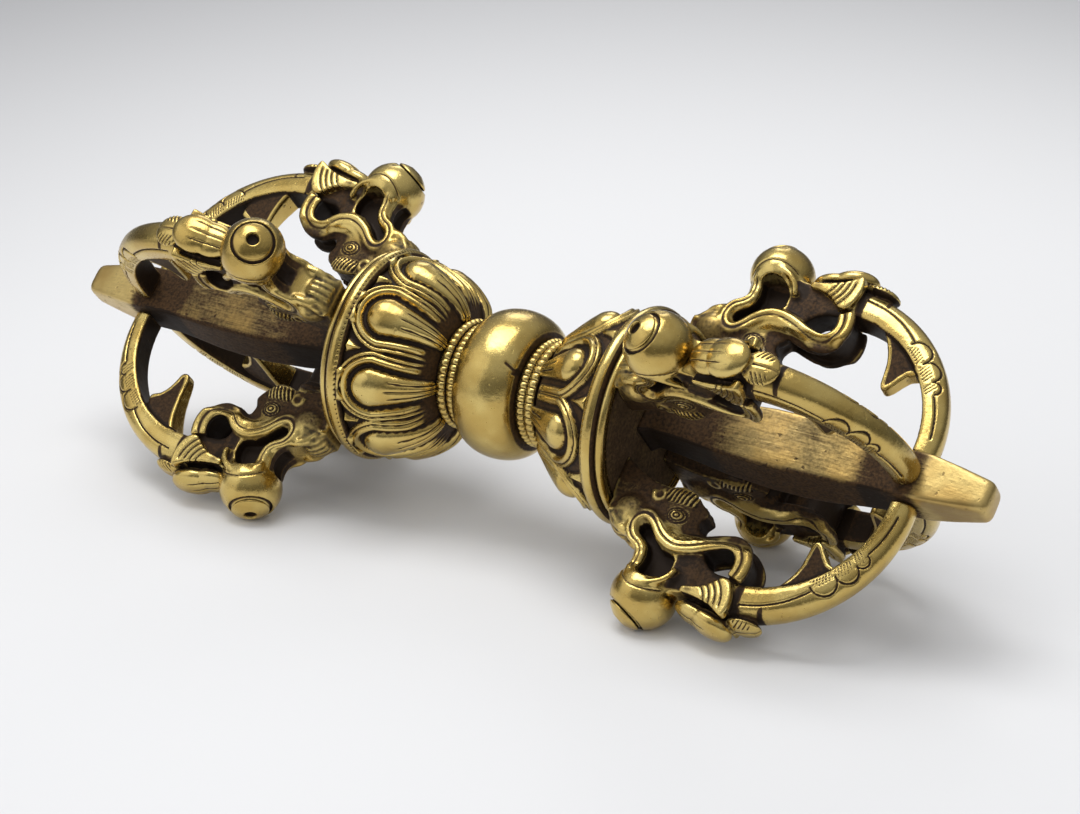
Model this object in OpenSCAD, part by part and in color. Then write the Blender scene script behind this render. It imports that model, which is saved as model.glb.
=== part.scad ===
// Five-pronged makara vajra: a globe grip between two lotus hubs. Each hub carries four
// makara heads, whose mouths hold curved prongs that close on a square axial prong.
// The vajra lies along X with the globe at the origin. An arm is drawn in its own frame:
// X outward from the moon disc, Y away from the axis, Z across the arm.

/* [Globe] */
// Diameter of the globe
globe_d = 23.4; // [20:0.2:28]
// Width of the globe between its flat faces
globe_w = 14; // [11:0.5:18]
// Diameter of the globe's flat faces
globe_face_d = 16.6; // [16:0.2:18]

/* [Bead rings] */
// Outer diameter of a beaded ring
bead_ring_d = 17.4; // [16.8:0.2:20]
// Width of one beaded ring
bead_w = 1.3; // [1:0.1:2]
// Number of beads round a ring
bead_count = 40; // [24:1:48]
// Depth of the notch between two beads
bead_notch = 0.3; // [0.1:0.05:0.4]

/* [Lotus hub] */
// Diameter of the neck that carries the beaded rings
neck_d = 14.6; // [12:0.2:15.4]
// Length of the lotus from its shoulder to the face of the moon disc
lotus_len = 15; // [13:0.5:20]
// Diameter of the lotus at its shoulder
shoulder_d = 17; // [16:0.2:19]
// Diameter over the rim moulding
rim_d = 33.6; // [32:0.2:40]
// Diameter of the main rim bead's section
rim_bead_d = 2.4; // [1.6:0.1:3]
// Diameter of the thin outer ring's section
rim_ring_d = 1.6; // [1.2:0.1:1.8]
// Number of petals round a lotus
petal_count = 8; // [6:1:10]
// Width of the hollow of a petal at its round end
petal_hollow_d = 7.2; // [6:0.1:8]
// Width of the boss in a petal at its round end
petal_boss_d = 5.2; // [3:0.1:5.6]

/* [Moon disc] */
// Diameter of the moon disc
disc_d = 27.6; // [26:0.2:29]
// Thickness of the moon disc
disc_t = 2.4; // [1.5:0.1:4]

/* [Core rod] */
// Diameter of the rod that ties the stack together
rod_d = 3.6; // [2.5:0.1:4]
// Depth to which the rod enters each axial prong
rod_reach = 11; // [6:0.5:16]

/* [Axial prong] */
// Width across the flats at the foot
axial_foot = 6.2; // [5.6:0.1:7.5]
// Width across the flats at the belly
axial_belly = 9.2; // [7.5:0.1:11]
// Width across the flats where the curved prongs rest on it
axial_seat = 7.4; // [6:0.1:9]
// Width across the flats at the end
axial_end = 5; // [3.5:0.1:6]
// Length of the point beyond the curved prongs
axial_point = 10.6; // [6:0.2:16]
// Height of the dome on the end
axial_dome = 0.9; // [0.4:0.1:1.6]

/* [Makara] */
// Diameter of the circle through the centres of the snout balls
cage_d = 54.4; // [50:0.2:62]
// Width of a makara's head plate
head_w = 6.2; // [5:0.2:8]
// Width over the lips
lip_span = 8; // [6.6:0.2:9]
// Breadth of a lip seen from the side
lip_w = 1.9; // [1.2:0.1:2.4]
// Diameter of the snout ball
ball_d = 10.4; // [9.6:0.2:11.4]
// Diameter of the open mouth
mouth_d = 5.2; // [4:0.1:5.6]
// Depth of the worn flats on which the vajra lies
wear = 0.25; // [0.1:0.05:0.4]
// Diameter of the cheek behind the jaw
cheek_d = 9; // [7:0.2:9.6]
// Diameter of an eye
eye_d = 2.6; // [1.6:0.1:3]
// Number of ribs in a brow
brow_ribs = 6; // [4:1:7]
// Section of the tenon that enters the moon disc
tenon_w = 3.4; // [2.4:0.1:4]
// Length of the tenon
tenon_len = 4.4; // [2.6:0.1:5]

/* [Curved prong] */
// Distance from the moon disc to the outermost point of a curved prong
cage_len = 44.8; // [42:0.2:50]
// Width of a prong at its root
prong_w = 5.8; // [4.6:0.1:6.4]
// Width of a prong at its end
prong_end_w = 4.4; // [3.4:0.1:5]
// Depth of a prong at its root
prong_root_t = 4.8; // [4:0.1:5.4]
// Depth of a prong at its end
prong_end_t = 3.4; // [2.6:0.1:4]
// Radius of the crowned outer face
prong_crown_r = 4.4; // [3.6:0.1:8]
// Length of the stem between the makara's throat and the bend
stem_len = 5.4; // [4.8:0.1:6]
// Section of the tang in the makara's throat
tang_w = 3; // [2.4:0.1:3.2]
// Wall left between the makara's mouth and the end of the tang
tang_wall = 0.36; // [0.3:0.02:0.8]
// Length of the inner barb
barb_len = 6.4; // [3:0.2:8]
// Thickness of the inner barb
barb_t = 2.2; // [1:0.1:3]
// Thickness of the outer calyx petal
calyx_d = 5; // [4:0.1:5.6]
// Thickness of the side calyx petals
side_petal_d = 4.2; // [3:0.1:4.6]

/* [Jewel stud] */
// Diameter of the jewel stud's head
stud_d = 6.2; // [4.6:0.1:6.6]
// Height of the jewel stud's head
stud_h = 1.3; // [0.8:0.1:1.8]
// Lean of the stud towards the lotus
stud_lean = 27; // [15:1:35]
// Diameter of the stud's shank
shank_d = 2.2; // [1.6:0.1:3]
// Length of the shank below the head
shank_len = 4; // [3:0.1:5]
// Diameter of the punched pit in the head
pit_d = 1.8; // [1:0.1:2.2]

/* [Fits] */
// Clearance on each side of a tenon, bore or seat
fit = 0.05; // [0.02:0.01:0.1]
// Gap between pieces that nearly touch
air = 0.2; // [0.1:0.05:0.3]

/* [Hidden] */
$fn = 48;
arm_angles = [45, 135, 225, 315];
steps = 4;
eps = 0.02;
far = 100;

// Stack along the axis
neck_x = globe_w / 2;
neck_len = 2 * (bead_w + fit) + fit;
shoulder_x = neck_x + neck_len;
face_x = shoulder_x + lotus_len;
neck_r = neck_d / 2;
rim_r = rim_d / 2;
rim_bead_r = rim_bead_d / 2;
ring_r = rim_ring_d / 2;
ring_proud = ring_r / 4;
hub_r = rim_r - 1.2;
disc_r = disc_d / 2;
rod_r = rod_d / 2;
rod_len = 2 * (face_x + rod_reach);

// Curved prong: one arc from the makara's mouth to the axial prong
cage_r = cage_d / 2;
prong_top = cage_r + 0.2;
seat_r = axial_seat / 2;
arc_rise = seat_r + prong_end_t / 2;
arc_r = prong_top - arc_rise;
arc_x = cage_len - arc_r;
stem_under = prong_top - prong_root_t;
head_len = arc_x - stem_len;
tip_x = cage_len + axial_point;
// Throat of the makara, under the outer calyx petal
throat_top = prong_top - 0.4 * prong_root_t;
tang_r = stem_under + 0.12 * prong_root_t;

// Makara: heights are shares of the gape between rim and prong
gape = stem_under - rim_r;
ball_r = ball_d / 2;
ball_x = 0.6 * head_len;
ball_pos = [ball_x, cage_r];
back_x = ring_proud + air;
jaw_x = ball_x - ball_r + 1.4;
brow_r = rim_r - 5.8;
mouth_pos = [ball_x + 1.2, rim_r + gape];
tang_len = head_len - mouth_pos[0] - mouth_d / 2 - tang_wall;
rest_h = cage_r * cos(45) + ball_r - wear;
stud_seat = ball_r - 1.4;
lip_path = [
    for (p = [[0.33, 0.26], [0.36, 0], [0.44, -0.13], [0.55, 0.1], [0.65, 0.39], [0.77, 0.5],
              [0.92, 0.4], [1.05, 0.18], [1.18, 0.08], [1.3, 0.22], [1.35, 0.5], [1.31, 0.72]])
    [p[0] * head_len, rim_r + p[1] * gape]
];

brass = "#b8943f";
old_brass = "#8f7434";
dark_brass = "#4a3c22";
iron = "#5a5650";

// Point at t on the smooth curve between p1 and p2
function curve_point(p0, p1, p2, p3, t) =
    (2 * p1 + (p2 - p0) * t + (2 * p0 - 5 * p1 + 4 * p2 - p3) * t * t
     + (3 * p1 - p0 - 3 * p2 + p3) * t * t * t) / 2;

// Smooth curve through a list of points
function curve(p, n = steps) = concat(
    [for (i = [0 : len(p) - 2]) for (k = [0 : n - 1])
        curve_point(p[max(i - 1, 0)], p[i], p[i + 1], p[min(i + 2, len(p) - 1)], k / n)],
    [p[len(p) - 1]]);

// Points of an arc from angle a to angle b
function arc(c, r, a, b, n = steps) =
    [for (k = [0 : n]) polar(c, r, a + (b - a) * k / n)];

// Point at radius r and angle a from c
function polar(c, r, a) = c + r * [cos(a), sin(a)];

// Unit normal of a path at point i
function path_normal(p, i) =
    let (d = p[min(i + 1, len(p) - 1)] - p[max(i - 1, 0)]) [-d[1], d[0]] / norm(d);

// Direction of a vector in degrees
function heading(v) = atan2(v[1], v[0]);

// Ribbon of even breadth along a path, with round ends
module ribbon(p, w) {
    last = len(p) - 1;
    start = heading(path_normal(p, 0));
    end = heading(path_normal(p, last));
    polygon(concat(
        [for (i = [1 : last - 1]) p[i] + path_normal(p, i) * w / 2],
        arc(p[last], w / 2, end, end - 180),
        [for (i = [last - 1 : -1 : 1]) p[i] - path_normal(p, i) * w / 2],
        arc(p[0], w / 2, start + 180, start)));
}

// Ball turned from one arc
module ball(r) {
    rotate_extrude() polygon(arc([0, 0], r, -90, 90, 3 * steps));
}

// Solid teardrop along +X, round end at the origin
module teardrop(r1, r2, d) {
    a = asin((r1 - r2) / d);
    inside = 0.99;
    side = inside * [cos(a), sin(a)];
    rotate([0, 90, 0]) rotate_extrude() intersection() {
        translate([0, -far / 2]) square(far);
        union() {
            circle(r1);
            translate([0, d]) circle(r2);
            polygon([[0, r1 * side[1]], r1 * side, [0, d] + r2 * side, [0, d + r2 * side[1]]]);
        }
    }
}

// Round bar along X
module rod(x0, x1, r) {
    translate([x0, 0, 0]) rotate([0, 90, 0]) cylinder(r = r, h = x1 - x0);
}

// Outline turned round the X axis
module turned() {
    rotate([90, 0, 90]) rotate_extrude() rotate(90) mirror([0, 1]) children();
}

// Places an arm at one of its four angles on the right end, or mirrored on the left
module arm_place(side, i) {
    side_place(side) rotate([arm_angles[i - 1], 0, 0]) translate([face_x, 0, 0]) children();
}

// Leaves a piece on the right end, or mirrors it to the left
module side_place(side) {
    mirror([side == "left" ? 1 : 0, 0, 0]) children();
}

module core_rod() {
    color(iron) rod(-rod_len / 2, rod_len / 2, rod_r);
}

// Globe: one arc between the two flat faces
module grip_globe() {
    face_r = globe_face_d / 2;
    top = globe_d / 2;
    sink = (top * top - face_r * face_r - neck_x * neck_x) / (2 * (top - face_r));
    bulge = top - sink;
    half = asin(neck_x / bulge);
    color(brass) difference() {
        turned() polygon(concat(
            [[-neck_x, 0]], arc([0, sink], bulge, 90 + half, 90 - half, 4 * steps), [[neck_x, 0]]));
        rod(-globe_w, globe_w, rod_r + fit);
    }
}

// Beaded ring: a round ring notched between its beads
module bead_ring(side, place) {
    start = neck_x + fit + (place == "outer" ? bead_w + fit : 0);
    top = bead_ring_d / 2;
    color(old_brass) side_place(side) translate([start, 0, 0]) difference() {
        turned() difference() {
            union() {
                translate([bead_w / 2, top - bead_w / 2]) circle(d = bead_w);
                translate([0, neck_r + fit]) square([bead_w, top - bead_w / 2 - neck_r - fit]);
            }
            translate([-bead_w, 0]) square([3 * bead_w, neck_r + fit]);
        }
        rotate([0, 90, 0]) translate([0, 0, -bead_w]) linear_extrude(3 * bead_w)
            for (k = [0 : bead_count - 1]) rotate((k + 0.5) * 360 / bead_count)
                translate([top, 0]) rotate(45) square(bead_notch * sqrt(2), center = true);
    }
}

// Lotus outline from the shoulder to the rim, in hub coordinates
function lotus_curve() = curve([
    [0, shoulder_d / 2], [0.16 * lotus_len, shoulder_d / 2 + 2.2], [0.4 * lotus_len, rim_r - 3.6],
    [0.62 * lotus_len, hub_r - 0.3], [0.8 * lotus_len, hub_r]], 2);

module lotus_hub(side) {
    rim_x = lotus_len - ring_r - rim_bead_r;
    boss_sink = 0.7;
    narrow = [0.14 * lotus_len, shoulder_d / 2 + 1.4];
    wide = [0.58 * lotus_len, rim_r - 2.2];
    run = wide - narrow;
    slope = atan2(run[1], run[0]);
    color(brass) side_place(side) translate([shoulder_x, 0, 0]) difference() {
        union() {
            difference() {
                turned() polygon(concat([[0, 0]], lotus_curve(), [[lotus_len, hub_r], [lotus_len, 0]]));
                petals(narrow, wide, slope, norm(run), petal_hollow_d, 0);
                petal_gaps();
            }
            petals(narrow, wide, slope, norm(run), petal_boss_d, boss_sink);
            rod(-neck_len, eps, neck_r);
            turned() translate([rim_x, rim_r - rim_bead_r]) circle(r = rim_bead_r);
            turned() translate([lotus_len + ring_proud - ring_r, hub_r - 0.1]) circle(r = ring_r);
        }
        rod(lotus_len - disc_t - fit, 2 * lotus_len, disc_r + fit);
        rod(-far, far, rod_r + fit);
        for (a = arm_angles) rotate([a, 0, 0]) translate([lotus_len, 0, 0]) tenon(fit);
    }
}

// Teardrops round the lotus, wide end to the rim
module petals(narrow, wide, slope, run, d, sink) {
    for (k = [0 : petal_count - 1]) rotate([45 + k * 360 / petal_count, 0, 0])
        translate([wide[0], wide[1] - sink, 0]) rotate([0, 0, 180 + slope]) teardrop(d / 2, d / 7, run);
}

// Notches between neighbouring petals at the rim
module petal_gaps() {
    for (k = [0 : petal_count - 1]) rotate([45 + (k + 0.5) * 360 / petal_count, 0, 0])
        translate([0.72 * lotus_len, rim_r, 0]) rotate([0, 0, 200]) teardrop(1.7, 0.3, 0.42 * lotus_len);
}

// Tenon of a makara, behind the moon disc's face; grow widens it into its mortise
module tenon(grow = 0) {
    translate([-tenon_len - grow, disc_r - tenon_w - 2 - grow, -tenon_w / 2 - grow])
        cube([tenon_len + 1, tenon_w + 2 * grow, tenon_w + 2 * grow]);
}

module moon_disc(side) {
    color(dark_brass) side_place(side) translate([face_x, 0, 0]) difference() {
        rod(-disc_t, 0, disc_r);
        rod(-far, far, rod_r + fit);
        for (a = arm_angles) rotate([a, 0, 0]) tenon(fit);
    }
}

// Side outline of the axial prong from its foot on the moon disc to its rounded end
function axial_half() =
    let (end_r = axial_end / 2, foot_r = axial_foot / 2, belly_r = axial_belly / 2, flare = 0.7)
    concat(
        [[fit, foot_r + flare], [2 * flare, foot_r]],
        curve([[3 * flare, foot_r], [0.45 * cage_len, belly_r],
               [0.66 * cage_len, belly_r - 0.1], [cage_len - 1.8 * prong_end_t, seat_r]]),
        [[cage_len + 1, seat_r]],
        [for (k = [0 : 3]) [tip_x - axial_dome * (1 - sin(30 * k)), end_r - end_r * (1 - cos(20 * k))]]);

module axial_outline() {
    half = axial_half();
    last = len(half) - 1;
    polygon(concat(half, [for (i = [last : -1 : 0]) [half[i][0], -half[i][1]]]));
}

// Square prong: the same outline seen from two sides
module axial_prong(side) {
    color(old_brass) arm_place(side, 1) difference() {
        intersection() {
            translate([0, 0, -far / 2]) linear_extrude(far) axial_outline();
            rotate([90, 0, 0]) translate([0, 0, -far / 2]) linear_extrude(far) axial_outline();
        }
        rod(-far, rod_reach + fit, rod_r + fit);
    }
}

// Side outline of a makara's head, jaw and trunk
module makara_outline() {
    seat_low = disc_r - tenon_w - 3.4;
    loop_w = 2;
    difference() {
        union() {
            polygon(concat(
                [[fit, seat_low]],
                curve([[0.3 * head_len, brow_r - 0.6], [0.72 * head_len, brow_r],
                       [0.9 * head_len, brow_r + 2.2], [0.96 * head_len, rim_r - 1.6],
                       [0.98 * head_len, rim_r + 0.3 * gape]]),
                [[head_len, rim_r + 0.6 * gape], [head_len, throat_top],
                 [ball_x + 0.7 * ball_r, cage_r - 0.3 * ball_r]],
                curve([[jaw_x - 0.4, cage_r - 0.3 * ball_r], [jaw_x + 0.2, rim_r + gape],
                       [jaw_x - 0.2, rim_r + 0.7 * gape], [0.2 * head_len, rim_r + 0.35 * gape],
                       [back_x, rim_r + 0.05 * gape]]),
                [[back_x, disc_r + 0.4], [fit, disc_r - 0.4]]));
            ribbon(curve(lip_path), lip_w - 0.3);
        }
        translate(mouth_pos) circle(d = mouth_d);
        ribbon([[0.44 * head_len, rim_r + 0.28 * gape], [0.47 * head_len, rim_r + 0.6 * gape], mouth_pos],
               loop_w);
    }
}

module makara(side, i) {
    color(brass) arm_place(side, i) union() {
        difference() {
            linear_extrude(head_w, center = true) makara_outline();
            tang(fit);
        }
        difference() {
            snout();
            tang(fit);
        }
        linear_extrude(lip_span, center = true) ribbon(curve(lip_path), lip_w);
        tenon();
        makara_cheeks();
        makara_face();
    }
}

// Snout ball over the mouth: seat and bore for the jewel stud, and the worn flats
module snout() {
    difference() {
        stud_frame() difference() {
            sphere(ball_r);
            translate([0, 0, stud_seat]) cylinder(r = ball_d, h = ball_d);
            translate([0, 0, stud_seat - shank_len - fit]) cylinder(d = shank_d + 2 * fit, h = far);
        }
        linear_extrude(far, center = true) translate(mouth_pos) circle(d = mouth_d);
        for (a = [-45, 45]) rotate([a, 0, 0]) translate([-far / 2, rest_h, -far / 2]) cube(far);
    }
}

// Axis of the jewel stud, leaning from the ball towards the lotus
module stud_frame() {
    translate(ball_pos) rotate([0, 0, stud_lean]) rotate([-90, 0, 0]) children();
}

// Rounded cheeks behind the jaw, cut clear of the rim
module makara_cheeks() {
    intersection() {
        translate([0.26 * head_len, rim_r - 1, 0]) ball(cheek_d / 2);
        translate([back_x, disc_r + 0.4, -far / 2]) cube(far);
    }
}

// Eyes and the comb of ribs that makes each brow
module makara_face() {
    rib_d = 0.8;
    rib_len = 2.2;
    for (m = [-1, 1]) {
        translate([0.66 * head_len, brow_r + 1.5 * eye_d, m * head_w / 2]) sphere(d = eye_d);
        for (k = [0 : brow_ribs - 1])
            translate([(0.52 + 0.06 * k) * head_len, brow_r + 0.2, m * (head_w / 2 - rib_d / 4)])
                rotate([-90, 0, 0]) cylinder(d = rib_d, h = rib_len);
    }
}

// Tang of a curved prong in the makara's mouth; grow widens it into its socket
module tang(grow = 0) {
    width = tang_w + 2 * grow;
    translate([head_len - tang_len - grow, tang_r - width / 2, -width / 2])
        cube([tang_len + stem_len / 2 + grow, width, width]);
}

// Section of a prong: flat sides and a crowned outer face, out from the arc's centre
module prong_section(depth) {
    intersection() {
        translate([arc_r - depth, -prong_w / 2]) square([depth, prong_w]);
        translate([arc_r - prong_crown_r, 0]) circle(r = prong_crown_r);
    }
}

module curved_prong(side, i) {
    inner_r = (arc_r - prong_root_t + arc_r - prong_end_t) / 2;
    shift = (prong_root_t - prong_end_t) / 2;
    foot = asin((arc_rise - seat_r - fit) / arc_r);
    color(brass) arm_place(side, i) union() {
        difference() {
            intersection() {
                translate([arc_x, arc_rise, 0]) rotate(-foot - 3) rotate_extrude(angle = 93 + foot)
                    prong_section(2 * prong_root_t);
                prong_plan();
            }
            translate([arc_x + shift, arc_rise - shift, 0]) cylinder(r = inner_r, h = far, center = true);
            translate([arc_x, seat_r + fit - far, -far / 2]) cube(far);
        }
        stem();
        tang();
        barb(inner_r);
        calyx();
    }
}

// Plain stem between the makara's throat and the start of the arc, inside the calyx
module stem() {
    inset = 0.3;
    translate([head_len + air, stem_under + inset, -prong_w / 2 + inset])
        cube([stem_len + 1, prong_root_t - 3 * inset, prong_w - 2 * inset]);
}

// Plan of a prong: narrower towards its end
module prong_plan() {
    rotate([90, 0, 0]) translate([0, 0, -far / 2]) linear_extrude(far)
        polygon([[head_len, prong_w / 2], [arc_x, prong_w / 2], [cage_len + 1, prong_end_w / 2],
                 [cage_len + 1, -prong_end_w / 2], [arc_x, -prong_w / 2], [head_len, -prong_w / 2]]);
}

// Barb on the hollow side of the prong
module barb(inner_r) {
    c = [arc_x, arc_rise];
    linear_extrude(barb_t, center = true) polygon(concat(
        arc(c, inner_r + barb_t / 2, 66, 42, 4),
        curve([polar(c, inner_r, 41), polar(c, inner_r - 0.5 * barb_len, 43),
               polar(c, inner_r - barb_len, 40)], 3),
        curve([polar(c, inner_r - barb_len, 42), polar(c, inner_r - 0.4 * barb_len, 54),
               polar(c, inner_r, 66)], 3)));
}

// Calyx of petals round the root of the prong
module calyx() {
    base = ball_x + ball_r + air;
    tip = arc_x + 3.4;
    bud = calyx_d / 2;
    side_bud = side_petal_d / 2;
    leaf = 0.35 * bud;
    translate([tip - bud, prong_top + 0.4 * bud, 0]) rotate([0, 0, 194])
        teardrop(bud, bud / 3, tip - base - 1.4 * bud);
    for (m = [-1, 1])
        translate([arc_x + 0.6, prong_top - 2, m * (prong_w / 2 + 0.4)]) rotate([0, m * 8, 176])
            teardrop(side_bud, side_bud / 3, stem_len - air - 0.4 * side_bud);
    translate([tip + 7 * leaf - bud / 10, prong_top - 0.6, 0]) rotate([0, 0, 170])
        teardrop(2 * leaf, leaf, 4 * leaf);
}

// Jewel stud: a domed head with a punched pit, on a shank in the snout ball
module jewel_stud(side, i) {
    head_r = stud_d / 2;
    dome_r = (head_r * head_r + stud_h * stud_h) / (2 * stud_h);
    color(brass) arm_place(side, i) stud_frame() translate([0, 0, stud_seat]) difference() {
        union() {
            translate([0, 0, -shank_len]) cylinder(d = shank_d, h = shank_len + stud_h / 2);
            intersection() {
                translate([0, 0, fit + stud_h - dome_r]) sphere(r = dome_r);
                translate([0, 0, fit]) cylinder(r = head_r - 0.05, h = stud_h + fit);
            }
        }
        translate([0, 0, stud_h]) sphere(d = pit_d);
    }
}

core_rod();
grip_globe();
for (side = ["left", "right"]) {
    for (place = ["inner", "outer"])
        bead_ring(side, place);
    lotus_hub(side);
    moon_disc(side);
    axial_prong(side);
    for (i = [1 : len(arm_angles)]) {
        makara(side, i);
        curved_prong(side, i);
        jewel_stud(side, i);
    }
}
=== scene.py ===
import math
import bpy
import bmesh
import numpy as np
from mathutils import Matrix, Vector
from mathutils.bvhtree import BVHTree


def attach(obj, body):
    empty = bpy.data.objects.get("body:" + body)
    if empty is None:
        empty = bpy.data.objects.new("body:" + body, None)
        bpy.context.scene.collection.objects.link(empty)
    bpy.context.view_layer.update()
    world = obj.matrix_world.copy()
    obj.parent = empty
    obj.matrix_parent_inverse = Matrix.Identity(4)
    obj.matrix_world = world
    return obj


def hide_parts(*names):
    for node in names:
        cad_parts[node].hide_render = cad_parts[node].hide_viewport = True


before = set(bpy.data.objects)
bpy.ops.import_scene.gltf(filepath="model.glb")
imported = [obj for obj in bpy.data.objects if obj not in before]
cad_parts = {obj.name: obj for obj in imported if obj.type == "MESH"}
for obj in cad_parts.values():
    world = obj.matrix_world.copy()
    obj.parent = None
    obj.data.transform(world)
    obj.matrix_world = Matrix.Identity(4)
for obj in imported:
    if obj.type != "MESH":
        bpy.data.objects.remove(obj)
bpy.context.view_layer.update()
scene = bpy.context.scene
scene.view_settings.view_transform = "Standard"
mm = 0.001
sides = {"right": 1, "left": -1}
armAngles = {1: 45, 2: 135, 3: 225, 4: 315}  # upper back, upper front, lower front, lower back
restHeight = 24.183  # mm from the axis down to the floor


# A socket in a node tree: arithmetic on it adds Math nodes, add() makes any other node
class Wire:
    def __init__(self, tree, socket=None):
        self.tree, self.socket = tree, socket

    def plug(self, target, value):
        if isinstance(value, Wire):
            self.tree.links.new(value.socket, target)
        else:
            target.default_value = value

    def add(self, kind, settings, sockets, out=0):
        node = self.tree.nodes.new(kind)
        for key, value in settings.items():
            setattr(node, key, value)
        for key, value in sockets.items():
            self.plug(node.inputs[key], value)
        return Wire(self.tree, node.outputs[out])

    def math(self, operation, a, b=0.0):
        return self.add("ShaderNodeMath", {"operation": operation}, {0: a, 1: b})

    def __add__(self, other):
        return self.math("ADD", self, other)

    def __sub__(self, other):
        return self.math("SUBTRACT", self, other)

    def __rsub__(self, other):
        return self.math("SUBTRACT", other, self)

    def __mul__(self, other):
        return self.math("MULTIPLY", self, other)

    __radd__ = __add__
    __rmul__ = __mul__

    def clamp(self):
        return self.add("ShaderNodeClamp", {}, {0: self})

    def band(self, low, high):  # 0 below low, 1 above high, smooth between
        settings = {"interpolation_type": "SMOOTHSTEP"}
        return self.add("ShaderNodeMapRange", settings, {0: self, 1: low, 2: high})

    def mix(self, a, b):  # this value chooses between two colours
        a, b = (colour if isinstance(colour, Wire) else (*colour, 1) for colour in (a, b))
        return self.add("ShaderNodeMix", {"data_type": "RGBA"}, {0: self, 6: a, 7: b}, 2)

    def attribute(self, name):
        return self.add("ShaderNodeAttribute", {"attribute_name": name}, {}, 2)


def newMaterial(name):
    material = bpy.data.materials.new(name)
    material.use_nodes = True
    tree = material.node_tree
    return material, Wire(tree), tree.nodes["Principled BSDF"]


def noise(wire, coords, perMm, detail, rough=0.5):
    sockets = {"Vector": coords, "Scale": perMm / mm, "Detail": detail, "Roughness": rough}
    return wire.add("ShaderNodeTexNoise", {}, sockets)


# Brass: polished where it is rubbed, brown-black where the attribute of patina and painted shade is high
polished = {
    "warm": (0.52, 0.36, 0.10), "pale": (0.66, 0.50, 0.17), "paleBand": (0.35, 0.68),
    "brown": (0.062, 0.032, 0.012), "black": (0.019, 0.011, 0.006), "blackBand": (0.3, 0.75),
    "deepBand": (0.8, 1.0), "green": (0.026, 0.034, 0.020), "greenBand": (0.35, 0.6),
    "cloudPerMm": 0.16, "grainPerMm": 2.2, "speckPerMm": 0.9, "streakPerMm": 3.2, "dentPerMm": 0.42,
    "drawn": (0.05, 1, 1),  # streaks are long along the X axis
    "dirtAndShade": 0.0, "dirtBand": (0.05, 0.58), "cloudDirt": 0.26, "grainDirt": 0.26, "brush": 0.0, "wearClean": 0.5,
    "pitFrom": 0.73, "pitSoft": 0.06, "pitDirt": 0.4, "dirtDull": 0.65,
    "rough": 0.17, "roughGrain": 0.16, "roughBrush": 0.3, "roughDirt": 0.3,
    "dent": 0.60, "bump": 0.32, "dentBump": 0.5, "grainBump": 0.12, "brushBump": 0.25, "pitBump": 0.25,
    "shine": 0.2, "coat": 0.2, "coatRough": 0.16,
}


def brassPatterns(wire, look):
    coords = wire.add("ShaderNodeTexCoord", {}, {}, "Object")
    drawn = wire.add("ShaderNodeVectorMath", {"operation": "MULTIPLY"}, {0: coords, 1: look["drawn"]})
    cloud = noise(wire, coords, look["cloudPerMm"], 3.0)
    grain = noise(wire, coords, look["grainPerMm"], 4.0, 0.6)
    streaks = noise(wire, drawn, look["streakPerMm"], 3.0, 0.7)
    specks = noise(wire, coords, look["speckPerMm"], 1.0)
    dents = noise(wire, coords, look["dentPerMm"], 2.0)
    return cloud, grain, streaks, specks.band(look["pitFrom"], look["pitFrom"] + look["pitSoft"]), dents


def brass(name, look):
    material, wire, shader = newMaterial(name)
    cloud, grain, streaks, pits, dents = brassPatterns(wire, look)
    patinaAndShade, wear, verdigris = (wire.attribute(key) for key in ("patinaAndShade", "wear", "verdigris"))
    spots = (cloud - 0.5) * look["cloudDirt"] + (grain - 0.5) * look["grainDirt"]
    # the attribute holds painted shade as well as patina, so this darkening is partly painted shade
    dirtAndShade = patinaAndShade + spots + look["dirtAndShade"] + (streaks - 0.5) * look["brush"] - wear * look["wearClean"]
    dirtAndShade = (dirtAndShade.band(*look["dirtBand"]) + pits * look["pitDirt"]).clamp()
    tone = cloud.band(*look["paleBand"]).mix(look["warm"], look["pale"])
    blackness = (grain.band(*look["blackBand"]) + patinaAndShade.band(*look["deepBand"])).clamp()
    crust = blackness.mix(look["brown"], look["black"])
    crust = (verdigris * grain.band(*look["greenBand"])).mix(crust, look["green"])
    wire.plug(shader.inputs["Base Color"], dirtAndShade.mix(tone, crust))
    wire.plug(shader.inputs["Metallic"], 1.0 - dirtAndShade * look["dirtDull"])
    rough = look["rough"] + grain * look["roughGrain"] + streaks * (look["brush"] * look["roughBrush"])
    wire.plug(shader.inputs["Roughness"], (rough + dirtAndShade * look["roughDirt"]).clamp())
    height = dents * look["dentBump"] + grain * look["grainBump"] - pits * look["pitBump"]
    height = height + streaks * (look["brush"] * look["brushBump"])
    bump = {"Strength": look["bump"], "Distance": look["dent"] * mm, "Height": height}
    wire.plug(shader.inputs["Normal"], wire.add("ShaderNodeBump", {}, bump))
    wire.plug(shader.inputs["Coat Weight"], (1.0 - dirtAndShade) * look["coat"])
    shader.inputs["Coat Roughness"].default_value = look["coatRough"]
    shader.inputs["Specular IOR Level"].default_value = look["shine"]
    return material


brassBright = brass("polished_brass", polished)
brassAged = brass("aged_brass", {
    **polished, "warm": (0.42, 0.28, 0.09), "pale": (0.58, 0.43, 0.16), "brown": (0.072, 0.037, 0.014),
    "rough": 0.26, "dirtAndShade": 0.02, "pitFrom": 0.70, "cloudDirt": 0.65, "brush": 0.4})
brassDark = brass("dark_brass", {
    **polished, "brown": (0.085, 0.050, 0.024), "black": (0.040, 0.024, 0.012),
    "rough": 0.45, "dirtAndShade": 0.55, "cloudDirt": 0.3, "grainDirt": 0.3})
print("materials made")


# Camera fitted to the photograph: degrees, mm and pixels
cameraFit = {"azimuth": 30.42, "elevation": 20.444, "roll": 2.429, "distance": 490.79, "offset": (-4.188, 3.444),
             "focalPx": 3208.1, "widthPx": 1080, "sensor": 36.0, "clip": (0.01, 20)}


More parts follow.
